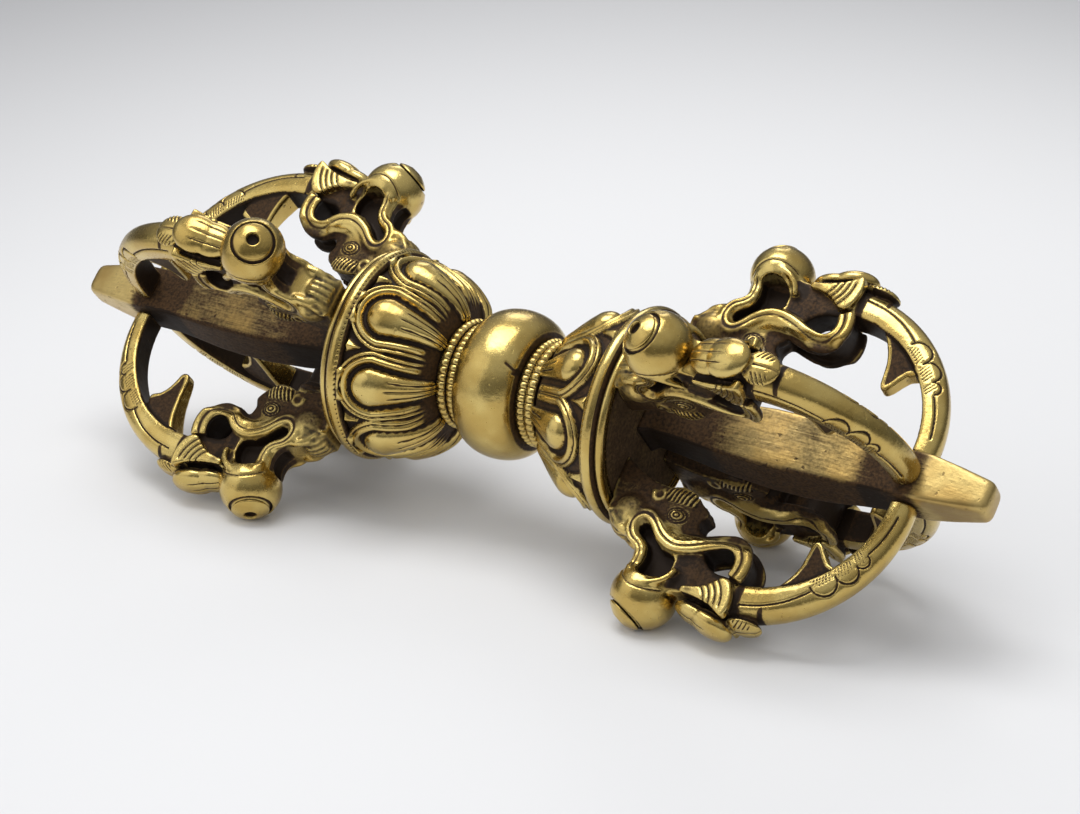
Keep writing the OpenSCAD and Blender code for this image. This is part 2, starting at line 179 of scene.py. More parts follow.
def makeCamera(fit):
    az, el, roll = (math.radians(fit[key]) for key in ("azimuth", "elevation", "roll"))
    back = Vector((math.sin(az) * math.cos(el), -math.cos(az) * math.cos(el), math.sin(el)))
    right = Vector((0, 0, 1)).cross(back).normalized()
    up = back.cross(right)
    across = right * math.cos(roll) + up * math.sin(roll)
    upward = up * math.cos(roll) - right * math.sin(roll)
    turn = Matrix((across, upward, back)).transposed().to_4x4()
    spot = across * -fit["offset"][0] + upward * -fit["offset"][1] + back * fit["distance"]
    data = bpy.data.cameras.new("camera")
    data.sensor_width = fit["sensor"]
    data.lens = fit["focalPx"] / fit["widthPx"] * fit["sensor"]
    data.clip_start, data.clip_end = fit["clip"]
    camera = bpy.data.objects.new("camera", data)
    camera.matrix_world = Matrix.Translation(spot * mm) @ turn
    scene.collection.objects.link(camera)
    scene.camera = camera


makeCamera(cameraFit)


def meshOf(bm, name):
    mesh = bpy.data.meshes.new(name)
    bm.to_mesh(mesh)
    bm.free()
    return mesh


# Pale sheet of paper under the vajra, with painted shade greying it towards the far corners, in metres
floorLook = {"size": 6.0, "front": (0.69, 0.69, 0.70), "back": (0.25, 0.25, 0.26), "fade": (0.17, 0.66),
             "middle": (0.07, -0.02), "sideways": 1.6, "rough": 0.7, "shine": 0.2}


def makeFloor(look):
    bm = bmesh.new()
    bmesh.ops.create_grid(bm, x_segments=1, y_segments=1, size=look["size"] / 2)
    bmesh.ops.translate(bm, verts=bm.verts, vec=(0, 0, -restHeight * mm))
    floor = bpy.data.objects.new("floor", meshOf(bm, "floor"))
    scene.collection.objects.link(floor)
    material, wire, shader = newMaterial("paper")
    coords = wire.add("ShaderNodeTexCoord", {}, {}, "Object")
    turn = {"Vector": coords, "Angle": math.radians(-cameraFit["azimuth"])}
    turned = wire.add("ShaderNodeVectorRotate", {"rotation_type": "Z_AXIS"}, turn)
    middleX, middleY = look["middle"]
    side = (wire.add("ShaderNodeSeparateXYZ", {}, {0: turned}, "X") - middleX) * look["sideways"]
    depth = wire.add("ShaderNodeSeparateXYZ", {}, {0: turned}, "Y") - middleY
    # painted shade: the paper's colour greys with distance from the middle, faster sideways
    away = wire.math("SQRT", side * side + depth * depth)
    wire.plug(shader.inputs["Base Color"], away.band(*look["fade"]).mix(look["front"], look["back"]))
    shader.inputs["Roughness"].default_value = look["rough"]
    shader.inputs["Specular IOR Level"].default_value = look["shine"]
    floor.data.materials.append(material)


makeFloor(floorLook)

# Soft box overhead, a wide one to the left and a small one behind, all facing the vajra
lamps = {"overhead": {"place": (-0.13, -0.02, 0.62), "size": 0.42, "power": 2.7},
         "left": {"place": (-0.60, -0.62, 0.36), "size": 0.90, "power": 1.7},
         "back": {"place": (-0.36, 0.73, 0.58), "size": 0.35, "power": 0.9}}


def makeLamp(name, lamp):
    data = bpy.data.lights.new(name, "AREA")
    data.shape, data.size, data.energy = "SQUARE", lamp["size"], lamp["power"]
    lampObject = bpy.data.objects.new(name, data)
    turn = Vector(lamp["place"]).to_track_quat("Z", "Y").to_matrix().to_4x4()
    lampObject.matrix_world = Matrix.Translation(lamp["place"]) @ turn
    scene.collection.objects.link(lampObject)


for lampName, lampFacts in lamps.items():
    makeLamp(lampName, lampFacts)

# The room lights the floor evenly, more from the front; in the metal it shows dark low down and pale above
roomLook = {"colour": (0.98, 0.99, 1.0, 1), "even": 0.50, "front": 1.0, "mirrorLow": 0.12, "mirrorHigh": 0.5,
            "mirrorBand": (0.1, 0.8)}


def makeRoom(look):
    world = bpy.data.worlds.new("room")
    world.use_nodes = True
    scene.world = world
    wire = Wire(world.node_tree)
    way = wire.add("ShaderNodeTexCoord", {}, {}, "Generated")
    frontness = (0.0 - wire.add("ShaderNodeSeparateXYZ", {}, {0: way}, "Y")).clamp()
    height = wire.add("ShaderNodeSeparateXYZ", {}, {0: way}, "Z").band(*look["mirrorBand"])
    lightLevel = frontness * look["front"] + look["even"]
    mirrorLevel = height * (look["mirrorHigh"] - look["mirrorLow"]) + look["mirrorLow"]
    isGlossy = wire.add("ShaderNodeLightPath", {}, {}, "Is Glossy Ray")
    background = world.node_tree.nodes["Background"]
    wire.plug(background.inputs["Strength"], lightLevel + isGlossy * (mirrorLevel - lightLevel))
    background.inputs["Color"].default_value = look["colour"]


makeRoom(roomLook)
print("camera, floor and light made")


# Soft masks over the vertices of a piece
def smoothStep(low, high, value):
    t = np.clip((value - low) / (high - low), 0, 1)
    return t * t * (3 - 2 * t)


def fadeOut(low, high, value):
    return 1 - smoothStep(low, high, value)


def between(value, low, high, soft=0.3):
    return smoothStep(low - soft, low + soft, value) * fadeOut(high - soft, high + soft, value)


def groove(distance, width):
    return np.exp(-(distance / width) ** 2)


def waves(value, pitch):  # from 0 to 1 and back in each pitch
    return 0.5 + 0.5 * np.cos(value * math.tau / pitch)


def weigh(weights, masks):
    return sum(weight * masks[key] for key, weight in weights.items())


# Paths are lists of (x, r) in mm, x along the vajra and r out from its axis
def runAlong(path):
    return np.concatenate([[0], np.cumsum(np.linalg.norm(np.diff(path, axis=0), axis=1))])


def evenly(path, spacing):
    path = np.array(path, float)
    run = runAlong(path)
    at = np.linspace(0, run[-1], max(2, int(run[-1] / spacing) + 1))
    return np.stack([np.interp(at, run, path[:, k]) for k in range(path.shape[1])], 1)


def curveThrough(path, steps):
    p = np.array(path, float)
    ends = np.vstack([2 * p[0] - p[1], p, 2 * p[-1] - p[-2]])
    t = np.linspace(0, 1, steps, endpoint=False)[:, None]
    made = [0.5 * (2 * b + (c - a) * t + (2 * a - 5 * b + 4 * c - d) * t ** 2 + (3 * b - a - 3 * c + d) * t ** 3)
            for a, b, c, d in zip(ends, ends[1:], ends[2:], ends[3:])]
    return np.vstack(made + [p[-1:]])


def offsetPath(path, shift):
    p = np.array(path, float)
    along = np.gradient(p, axis=0)
    along /= np.linalg.norm(along, axis=1)[:, None]
    return p + np.stack([-along[:, 1], along[:, 0]], 1) * np.broadcast_to(shift, len(p))[:, None]


def ribbonOutline(path, width):
    return np.vstack([offsetPath(path, width / 2), offsetPath(path, -width / 2)[::-1]])


def distanceTo(flat, path):
    path = np.array(path, float)
    best = np.full(len(flat), np.inf)
    for a, b in zip(path, path[1:]):
        run = b - a
        t = np.clip(((flat - a) @ run) / max(run @ run, 1e-12), 0, 1)
        best = np.minimum(best, np.linalg.norm(flat - a - t[:, None] * run, axis=1))
    return best


# Mesh helpers: shapes are made in mm with the arm along +Y, then placed in metres
def points(mesh):
    co = np.empty(len(mesh.vertices) * 3)
    mesh.vertices.foreach_get("co", co)
    return co.reshape(-1, 3)


def normals(mesh):
    no = np.empty(len(mesh.vertices) * 3)
    mesh.vertices.foreach_get("normal", no)
    return no.reshape(-1, 3)


def setPoints(mesh, co):
    mesh.vertices.foreach_set("co", co.ravel())
    mesh.update()


def storeAttribute(mesh, name, values):
    attribute = mesh.attributes.get(name) or mesh.attributes.new(name, "FLOAT", "POINT")
    attribute.data.foreach_set("value", np.clip(values, 0, 1).astype(np.float32))


def finishPiece(mesh, name, material, node):
    mesh.materials.clear()
    mesh.materials.append(material)
    mesh.shade_smooth()
    piece = bpy.data.objects.new(name, mesh)
    scene.collection.objects.link(piece)
    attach(piece, "root")
    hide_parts(node)


def placed(mesh, side, angle, name):
    copy = mesh.copy()
    copy.name = name
    scale = Matrix.Diagonal((sides[side] * mm, mm, mm, 1))
    copy.transform(scale @ Matrix.Rotation(math.radians(angle), 4, "X"))
    if sides[side] < 0:
        copy.flip_normals()
    return copy


def finishArms(mesh, side, nodeName, pieceName):
    for arm, angle in armAngles.items():
        node = f"{nodeName}_{side}_{arm}"
        piece = f"{pieceName}.{side}.{arm}"
        finishPiece(placed(mesh, side, angle, node), piece, brassBright, node)


def turnProfile(profile, steps, name):
    bm = bmesh.new()
    verts = [bm.verts.new((x, r, 0)) for x, r in profile]
    edges = [bm.edges.new(pair) for pair in zip(verts, verts[1:])]
    bmesh.ops.spin(bm, geom=verts + edges, cent=(0, 0, 0), axis=(1, 0, 0), dvec=(0, 0, 0), angle=math.tau,
                   steps=steps, use_merge=True, use_duplicate=False)
    bmesh.ops.remove_doubles(bm, verts=bm.verts, dist=1e-4)
    bmesh.ops.recalc_face_normals(bm, faces=bm.faces)
    return meshOf(bm, name)


# Patina gathers in hollows and wears off ridges, and painted shade darkens where a piece blocks its own light: all
# come from the shape itself
aging = {"rays": 14, "seed": 3, "upright": 1.05, "lift": 0.06, "smooth": 2}


def average(mesh, values, rounds):
    edges = np.empty(len(mesh.edges) * 2, np.int64)
    mesh.edges.foreach_get("vertices", edges)
    a, b = edges.reshape(-1, 2).T
    size = len(values)
    count = np.bincount(a, minlength=size) + np.bincount(b, minlength=size)
    values = np.atleast_2d(values.T).T.astype(float)
    for _ in range(rounds):
        sums = [np.bincount(a, column[b], size) + np.bincount(b, column[a], size) for column in values.T]
        values = 0.5 * values + 0.5 * np.stack(sums, 1) / count[:, None]
    return values


def hollows(mesh, rounds, gain, low, high):  # depth below the surface around, times gain, held in limits
    co = points(mesh)
    depth = np.einsum("ij,ij->i", average(mesh, co, rounds) - co, normals(mesh))
    return np.clip(depth * gain, low, high)


# painted shade: the share of blocked rays darkens a piece through its patina attribute
def shadedShare(mesh, reach):  # share of the rays that meet the piece itself within reach
    co, no = points(mesh), normals(mesh)
    bm = bmesh.new()
    bm.from_mesh(mesh)
    tree = BVHTree.FromBMesh(bm)
    bm.free()
    spread = np.random.default_rng(aging["seed"]).normal(size=(aging["rays"], 3))
    spread /= np.linalg.norm(spread, axis=1)[:, None]
    start = co + no * aging["lift"]
    blocked = np.zeros(len(co))
    for lean in spread:
        way = no * aging["upright"] + lean
        way /= np.linalg.norm(way, axis=1)[:, None]
        blocked += [tree.ray_cast(spot, ray, reach)[0] is not None for spot, ray in zip(start, way)]
    return average(mesh, blocked / aging["rays"], aging["smooth"])[:, 0]


# Globe: one round profile, a little flattened, with two scratches given as (x, degrees round the axis)
globe = {"r": 11.7, "halfWidth": 5.3, "faceR": 8.3, "boreR": 3.0, "dish": 0.3, "roundness": 0.92, "steps": 320,
         "rows": 130, "rimFrom": 0.93, "rimDirt": 0.75, "scratchWide": 0.23, "scratchDeep": 0.25,
         "scratches": [[(3.7, 141.5), (5.1, 145.0)], [(4.9, 148.0), (5.2, 143.0)]]}


def makeGlobe(facts):
    half = facts["halfWidth"]
    x = half * np.sin(np.linspace(-1, 1, facts["rows"]) * math.pi / 2)
    arch = np.sqrt(np.clip(1 - (x / half) ** 2, 0, 1)) ** facts["roundness"]
    r = facts["faceR"] + (facts["r"] - facts["faceR"]) * arch
    boreX = half - facts["dish"]
    profile = [(-boreX, facts["boreR"]), *zip(x, r), (boreX, facts["boreR"])]
    mesh = turnProfile(profile, facts["steps"], "grip_globe")
    co = points(mesh)
    edge = smoothStep(facts["rimFrom"], 1.0, np.abs(co[:, 0]) / half)
    unrolled = np.column_stack([co[:, 0], np.arctan2(co[:, 2], co[:, 1]) * facts["r"]])
    scratch = np.zeros(len(co))
    for marks in facts["scratches"]:
        line = [(place, math.radians(angle) * facts["r"]) for place, angle in marks]
        scratch = np.maximum(scratch, groove(distanceTo(unrolled, line), facts["scratchWide"]))
    co[:, 1:] *= (1 - facts["scratchDeep"] * scratch / np.hypot(co[:, 1], co[:, 2]))[:, None]
    setPoints(mesh, co)
    storeAttribute(mesh, "patinaAndShade", edge * facts["rimDirt"] + scratch)
    mesh.transform(Matrix.Scale(mm, 4))
    finishPiece(mesh, "gripGlobe", brassBright, "grip_globe")


makeGlobe(globe)

# Beaded rings: two on each neck, each with its count of beads, its start and its outer radius
beads = {"rings": {"inner": (50, 5.35, 8.5), "outer": (44, 7.05, 8.7)}, "width": 1.65, "gap": 0.06, "bead": 1.06,
         "boreR": 7.35, "stepsPerBead": 10, "rows": 18, "notch": 0.42, "below": 0.2, "above": 0.08,
         "topDirt": 0.05, "footDirt": 0.95, "gapDirt": 0.6}


def beadRing(facts, count, start, top):
    half, wide = facts["bead"] / 2, facts["width"] / 2 - facts["gap"]
    middle = start + facts["width"] / 2
    x = middle + wide * np.sin(np.linspace(-1, 1, facts["rows"]) * math.pi / 2)
    r = top - half + half * np.sqrt(np.clip(1 - ((x - middle) / wide) ** 2, 0, 1))
    profile = [(middle - wide, facts["boreR"]), *zip(x, r), (middle + wide, facts["boreR"])]
    mesh = turnProfile(profile, count * facts["stepsPerBead"], "bead_ring")
    co = points(mesh)
    radius = np.hypot(co[:, 1], co[:, 2])
    turn = np.arctan2(co[:, 2], co[:, 1]) * count / math.tau
    off = np.abs(turn - np.floor(turn) - 0.5) * 2  # 1 between two beads, 0 on a bead
    crest = smoothStep(top - half - facts["below"], top - facts["above"], radius)
    shrink = crest * facts["notch"] * (1 - np.sqrt(np.clip(1 - off ** 2, 0, 1)))
    co[:, 1:] *= ((radius - shrink) / radius)[:, None]
    setPoints(mesh, co)
    dirtAndShade = facts["topDirt"] + facts["footDirt"] * (1 - crest)
    storeAttribute(mesh, "patinaAndShade", np.maximum(dirtAndShade, facts["gapDirt"] * off ** 4))
    storeAttribute(mesh, "wear", crest * (1 - off))
    return mesh


for side in sides:
    for ringName, ringFacts in beads["rings"].items():
        ringNode = f"bead_ring_{side}_{ringName}"
        ringMesh = placed(beadRing(beads, *ringFacts), side, 0, ringNode)
        finishPiece(ringMesh, f"beadRing.{side}.{ringName}", brassBright, ringNode)
print("globe and beaded rings made")

# Lotus hub: a turned body whose petals, borders and leaf tips rise from its surface
hub = {
    "neck": [(5.4, 3.0), (5.4, 7.3), (8.75, 7.3)],
    "body": {"right": [(8.8, 7.8), (9.8, 9.0), (11.6, 10.3), (14.2, 12.1), (16.6, 13.5), (18.6, 14.6),
                       (20.2, 15.1), (21.5, 15.2)],
             "left": [(8.8, 7.9), (9.3, 9.4), (10.4, 11.0), (12.2, 12.4), (14.4, 13.5), (16.6, 14.2),
                      (18.6, 14.8), (20.2, 15.1), (21.5, 15.2)]},  # the petals of the left hub swell more
    "torus": (22.45, 15.6, 1.2), "torusArc": (190, -18, 28), "rim": (24.3, 15.4, 0.66), "rimArc": (200, -60, 22),
    "face": [(24.6, 13.85), (22.3, 13.8), (22.3, 3.0)], "bodyR": 7.5, "slack": 0.01,
    "petals": 8, "firstPetal": 45, "stepsPerPetal": 60, "curveSteps": 6, "rowSpacing": 0.17,
    "wideX": {"right": 15.8, "left": 16.6}, "wideR": {"right": 2.75, "left": 3.1}, "narrowR": 1.2,
    "run": {"right": 7.6, "left": 9.2}, "bossHigh": 1.9, "bossLow": 1.0,
    "veins": (-0.48, 0.0, 0.48), "veinFrom": 1.6, "veinFan": 1.4, "veinFull": 3.6, "veinWide": 0.12, "veinDeep": 0.3,
    "ridges": {"right": [(1.65, 0.62, 1.05), (2.5, 0.34, 0.85)],
               "left": [(1.22, 0.62, 1.05), (2.16, 0.34, 0.85)]},  # out from the boss, half width, height
    "ridgeRound": 0.6, "fade": {"right": (4.4, 8.7), "left": (4.6, 9.0)},
    "leafFrom": 18.8, "leafRun": 2.0, "leafTo": 21.0, "leafWide": 1.15, "leafHigh": 0.85, "leafRound": 0.7,
    "dots": 120, "dotWide": 0.15, "dotAngle": 128, "dotSpread": 7, "dotDeep": 0.22, "dotReach": 0.2,
    "reach": 3.0, "fine": (3, 8, -0.3, 0.7), "wide": (16, 1.2, -0.1, 0.4), "worn": (3, -9, 0, 1),
    "low": (0.2, 0.75), "neckR": 7.6, "neckDirt": 0.9, "rimGroove": (23.2, 23.95), "grooveR": 14.5,
    "grooveDirt": 0.8, "clean": 0.12,
    "dirtAndShade": {"shade": 1.1, "fine": 1, "wide": 1, "low": 0.8, "veins": 0.8, "dots": 0.9},
}


def ringArc(middleX, middleR, radius, fromDeg, toDeg, count):
    turns = np.radians(np.linspace(fromDeg, toDeg, count))
    return [(middleX + radius * math.cos(turn), middleR + radius * math.sin(turn)) for turn in turns]


def petalRelief(facts, side, body, x, across):
    bodyX, bodyRun = np.array(body)[:, 0], runAlong(body)
    along = np.interp(facts["wideX"][side], bodyX, bodyRun) - np.interp(x, bodyX, bodyRun)
    run, wideR = facts["run"][side], facts["wideR"][side]
    share = np.clip(along / run, 0, 1)  # 0 where a boss is widest, 1 at its neck end
    dropR = wideR + (facts["narrowR"] - wideR) * share
    inward = dropR - np.hypot(along - np.clip(along, 0, run), across)  # mm inside the outline of a boss
    high = facts["bossHigh"] + (facts["bossLow"] - facts["bossHigh"]) * share
    dome = np.sqrt(np.clip(1 - (1 - np.clip(inward / dropR, 0, 1)) ** 2, 0, 1))
    veins = np.zeros(len(x))
    for place in facts["veins"]:
        reach = smoothStep(facts["veinFrom"] + facts["veinFan"] * abs(place), facts["veinFull"], along)
        veins = np.maximum(veins, groove(across - place * dropR, facts["veinWide"]) * reach * (inward > 0))
    height = high * dome - facts["veinDeep"] * veins
    for place, wide, rise in facts["ridges"][side]:
        ridge = np.clip(1 - ((inward + place) / wide) ** 2, 0, 1) ** facts["ridgeRound"]
        height = np.maximum(height, rise * ridge * fadeOut(*facts["fade"][side], along))
    return height, veins


def leafTips(facts, x, fromMiddle):
    wide = np.clip((x - facts["leafFrom"]) / facts["leafRun"], 0, 1) * facts["leafWide"] * (x < facts["leafTo"])
    inside = np.clip(1 - fromMiddle / np.where(wide > 0, wide, 1), 0, 1) * (wide > 0)
    return facts["leafHigh"] * inside ** facts["leafRound"]


def rimDots(facts, x, radius, turn):
    torusX, torusR, thick = facts["torus"]
    count = turn * facts["dots"] / math.tau
    off = (count - np.round(count)) * math.tau / facts["dots"] * radius
    angle = np.degrees(np.arctan2(radius - torusR, x - torusX))
    onTorus = np.hypot(x - torusX, radius - torusR) < thick + facts["dotReach"]
    return groove(off, facts["dotWide"]) * groove(angle - facts["dotAngle"], facts["dotSpread"]) * onTorus


def ageHub(mesh, facts, x, radius, masks):
    # painted shade: the share of rays the hub blocks itself darkens it along with its patina
    masks["shade"] = shadedShare(mesh, facts["reach"])
    masks["fine"] = hollows(mesh, *facts["fine"])
    masks["wide"] = hollows(mesh, *facts["wide"])
    patinaAndShade = weigh(facts["dirtAndShade"], masks) - facts["clean"]
    patinaAndShade = np.where(radius < facts["neckR"], facts["neckDirt"], patinaAndShade)
    low, high = facts["rimGroove"]
    inGroove = (x > low) & (x < high) & (radius > facts["grooveR"])
    storeAttribute(mesh, "patinaAndShade", np.where(inGroove, np.maximum(patinaAndShade, facts["grooveDirt"]), patinaAndShade))
    storeAttribute(mesh, "wear", hollows(mesh, *facts["worn"]))


def makeHub(facts, side):
    body = [tuple(p) for p in evenly(curveThrough(facts["body"][side], facts["curveSteps"]), facts["rowSpacing"])]
    torus, rim = ringArc(*facts["torus"], *facts["torusArc"]), ringArc(*facts["rim"], *facts["rimArc"])
    profile = facts["neck"] + body + torus + rim + facts["face"]
    mesh = turnProfile(profile, facts["petals"] * facts["stepsPerPetal"], "lotus_hub")
    co, no = points(mesh), normals(mesh)
    x, radius = co[:, 0], np.hypot(co[:, 1], co[:, 2])
    step = math.tau / facts["petals"]
    turn = np.arctan2(co[:, 2], co[:, 1]) + math.radians(facts["firstPetal"])
    off = (turn + step / 2) % step - step / 2  # angle from the nearest petal's middle
    onBody = (x > body[0][0] - facts["slack"]) & (x < body[-1][0] + facts["slack"]) & (radius > facts["bodyR"])
    height, veins = petalRelief(facts, side, body, x, off * radius)
    height = np.maximum(height, leafTips(facts, x, (step / 2 - np.abs(off)) * radius))
    height = np.where(onBody, height, 0)
    co += no * height[:, None]
    dots = rimDots(facts, x, radius, turn)
    co -= no * (facts["dotDeep"] * dots)[:, None]
    setPoints(mesh, co)
    low = np.where(onBody, fadeOut(*facts["low"], height), 0)
    ageHub(mesh, facts, x, radius, {"low": low, "veins": veins, "dots": dots})
    node = f"lotus_hub_{side}"
    finishPiece(placed(mesh, side, 0, node), f"lotusHub.{side}", brassBright, node)


for side in sides:
    makeHub(hub, side)
print("lotus hubs made")


# Solid forms for the carved pieces, in mm: slabs across the arm, balls and bars
def addSlab(bm, outline, half, bevel=0.0, place=None, bend=None):
    slab = bmesh.new()
    verts = [slab.verts.new((x, r, -half)) for x, r in outline]
    made = bmesh.ops.extrude_face_region(slab, geom=[slab.faces.new(verts)])["geom"]
    top = [v for v in made if isinstance(v, bmesh.types.BMVert)]
    bmesh.ops.translate(slab, verts=top, vec=(0, 0, 2 * half))
    bmesh.ops.recalc_face_normals(slab, faces=slab.faces)
    if bevel:
        rim = [e for e in slab.edges if abs(e.verts[0].co.z - e.verts[1].co.z) < 1e-6]
        bmesh.ops.bevel(slab, geom=rim, offset=bevel, affect="EDGES", segments=3, profile=0.5, material=-1,
                        clamp_overlap=True)
    if bend:
        for v in slab.verts:
            v.co.z = bend(v.co)
    if place:
        bmesh.ops.transform(slab, matrix=place, verts=slab.verts)
    mesh = meshOf(slab, "slab")
    bm.from_mesh(mesh)
    bpy.data.meshes.remove(mesh)


def addBall(bm, middle, radii, tilt=0.0):
    turn = Matrix.Rotation(math.radians(tilt), 4, "Z")
    place = Matrix.Translation(middle) @ turn @ Matrix.Diagonal((*radii, 1))
    bmesh.ops.create_uvsphere(bm, u_segments=32, v_segments=20, radius=1, matrix=place)


def addBar(bm, path, radii):  # round bar along a path of (x, r, across)
    data = bpy.data.curves.new("bar", "CURVE")
    data.dimensions, data.bevel_depth, data.bevel_resolution, data.use_fill_caps = "3D", 1.0, 3, True
    spline = data.splines.new("POLY")
    spline.points.add(len(path) - 1)
    for point, spot, radius in zip(spline.points, path, np.broadcast_to(radii, len(path))):
        point.co, point.radius = (*spot, 1), radius
    holder = bpy.data.objects.new("bar", data)
    mesh = bpy.data.meshes.new_from_object(holder)
    bm.from_mesh(mesh)
    bpy.data.objects.remove(holder)
    bpy.data.meshes.remove(mesh)
    bpy.data.curves.remove(data)


def addRemesh(work, name, voxel):
    remesh = work.modifiers.new(name, "REMESH")
    remesh.mode, remesh.voxel_size = "VOXEL", voxel


# Joins overlapping forms into one skin; a cutter is taken away before the last remesh
def joinForms(bm, voxel, rounds, name, cutter=None):
    work = bpy.data.objects.new(name, meshOf(bm, name))
    scene.collection.objects.link(work)
    helpers = [work]
    if cutter is not None:
        addRemesh(work, "first", voxel * 1.5)
        hole = bpy.data.objects.new("cutter", meshOf(cutter, "cutter"))
        scene.collection.objects.link(hole)
        helpers.append(hole)
        cut = work.modifiers.new("cut", "BOOLEAN")
        cut.operation, cut.object, cut.solver = "DIFFERENCE", hole, "EXACT"
    addRemesh(work, "grid", voxel)
    soft = work.modifiers.new("soft", "SMOOTH")
    soft.factor, soft.iterations = 0.5, rounds
    made = bpy.data.meshes.new_from_object(work.evaluated_get(bpy.context.evaluated_depsgraph_get()))
    for helper in helpers:
        data = helper.data
        bpy.data.objects.remove(helper)
        bpy.data.meshes.remove(data)
    return made


# Jewel stud: a domed cap of (height, r) points with a punched pit, leaning towards the lotus
stud = {"ball": (35.19, 27.2), "seat": 3.8, "lean": 27, "shank": 1.05, "shankLong": 1.6, "shankTop": -0.05,
        "cap": [(-0.04, 2.6), (0.02, 2.85), (0.12, 2.95), (0.30, 2.92), (0.46, 2.75), (0.72, 2.35), (0.95, 1.9),
                (1.12, 1.5), (1.20, 1.32), (1.24, 1.16), (1.17, 1.0), (0.90, 0.9), (0.45, 0.8), (0.36, 0.5),
                (0.35, 0.0)],
        "curveSteps": 4, "steps": 64, "pit": (0.82, 0.98), "foot": (0.0, 0.14), "footDirt": 0.9,
        "lipR": 1.2, "lipWide": 0.2, "lipWear": 0.4}
studLean = math.radians(90 + stud["lean"])
studAxis = Vector((math.cos(studLean), math.sin(studLean), 0))


def makeStuds(facts):
    cap = [tuple(p) for p in curveThrough(facts["cap"], facts["curveSteps"])]
    shank = [(-facts["shankLong"], 0.0), (-facts["shankLong"], facts["shank"]), (facts["shankTop"], facts["shank"])]
    mesh = turnProfile(shank + cap, facts["steps"], "jewel_stud")
    co = points(mesh)
    away = np.hypot(co[:, 1], co[:, 2])
    pit = fadeOut(*facts["pit"], away) * (co[:, 0] > 0)
    storeAttribute(mesh, "patinaAndShade", pit + facts["footDirt"] * fadeOut(*facts["foot"], co[:, 0]))
    storeAttribute(mesh, "wear", groove(away - facts["lipR"], facts["lipWide"]) * facts["lipWear"])
    spot = Vector((*facts["ball"], 0)) + studAxis * facts["seat"]
    mesh.transform(Matrix.Translation(spot) @ Matrix.Rotation(studLean, 4, "Z"))
    for side in sides:
        finishArms(mesh, side, "jewel_stud", "jewelStud")


makeStuds(stud)
print("jewel studs made")

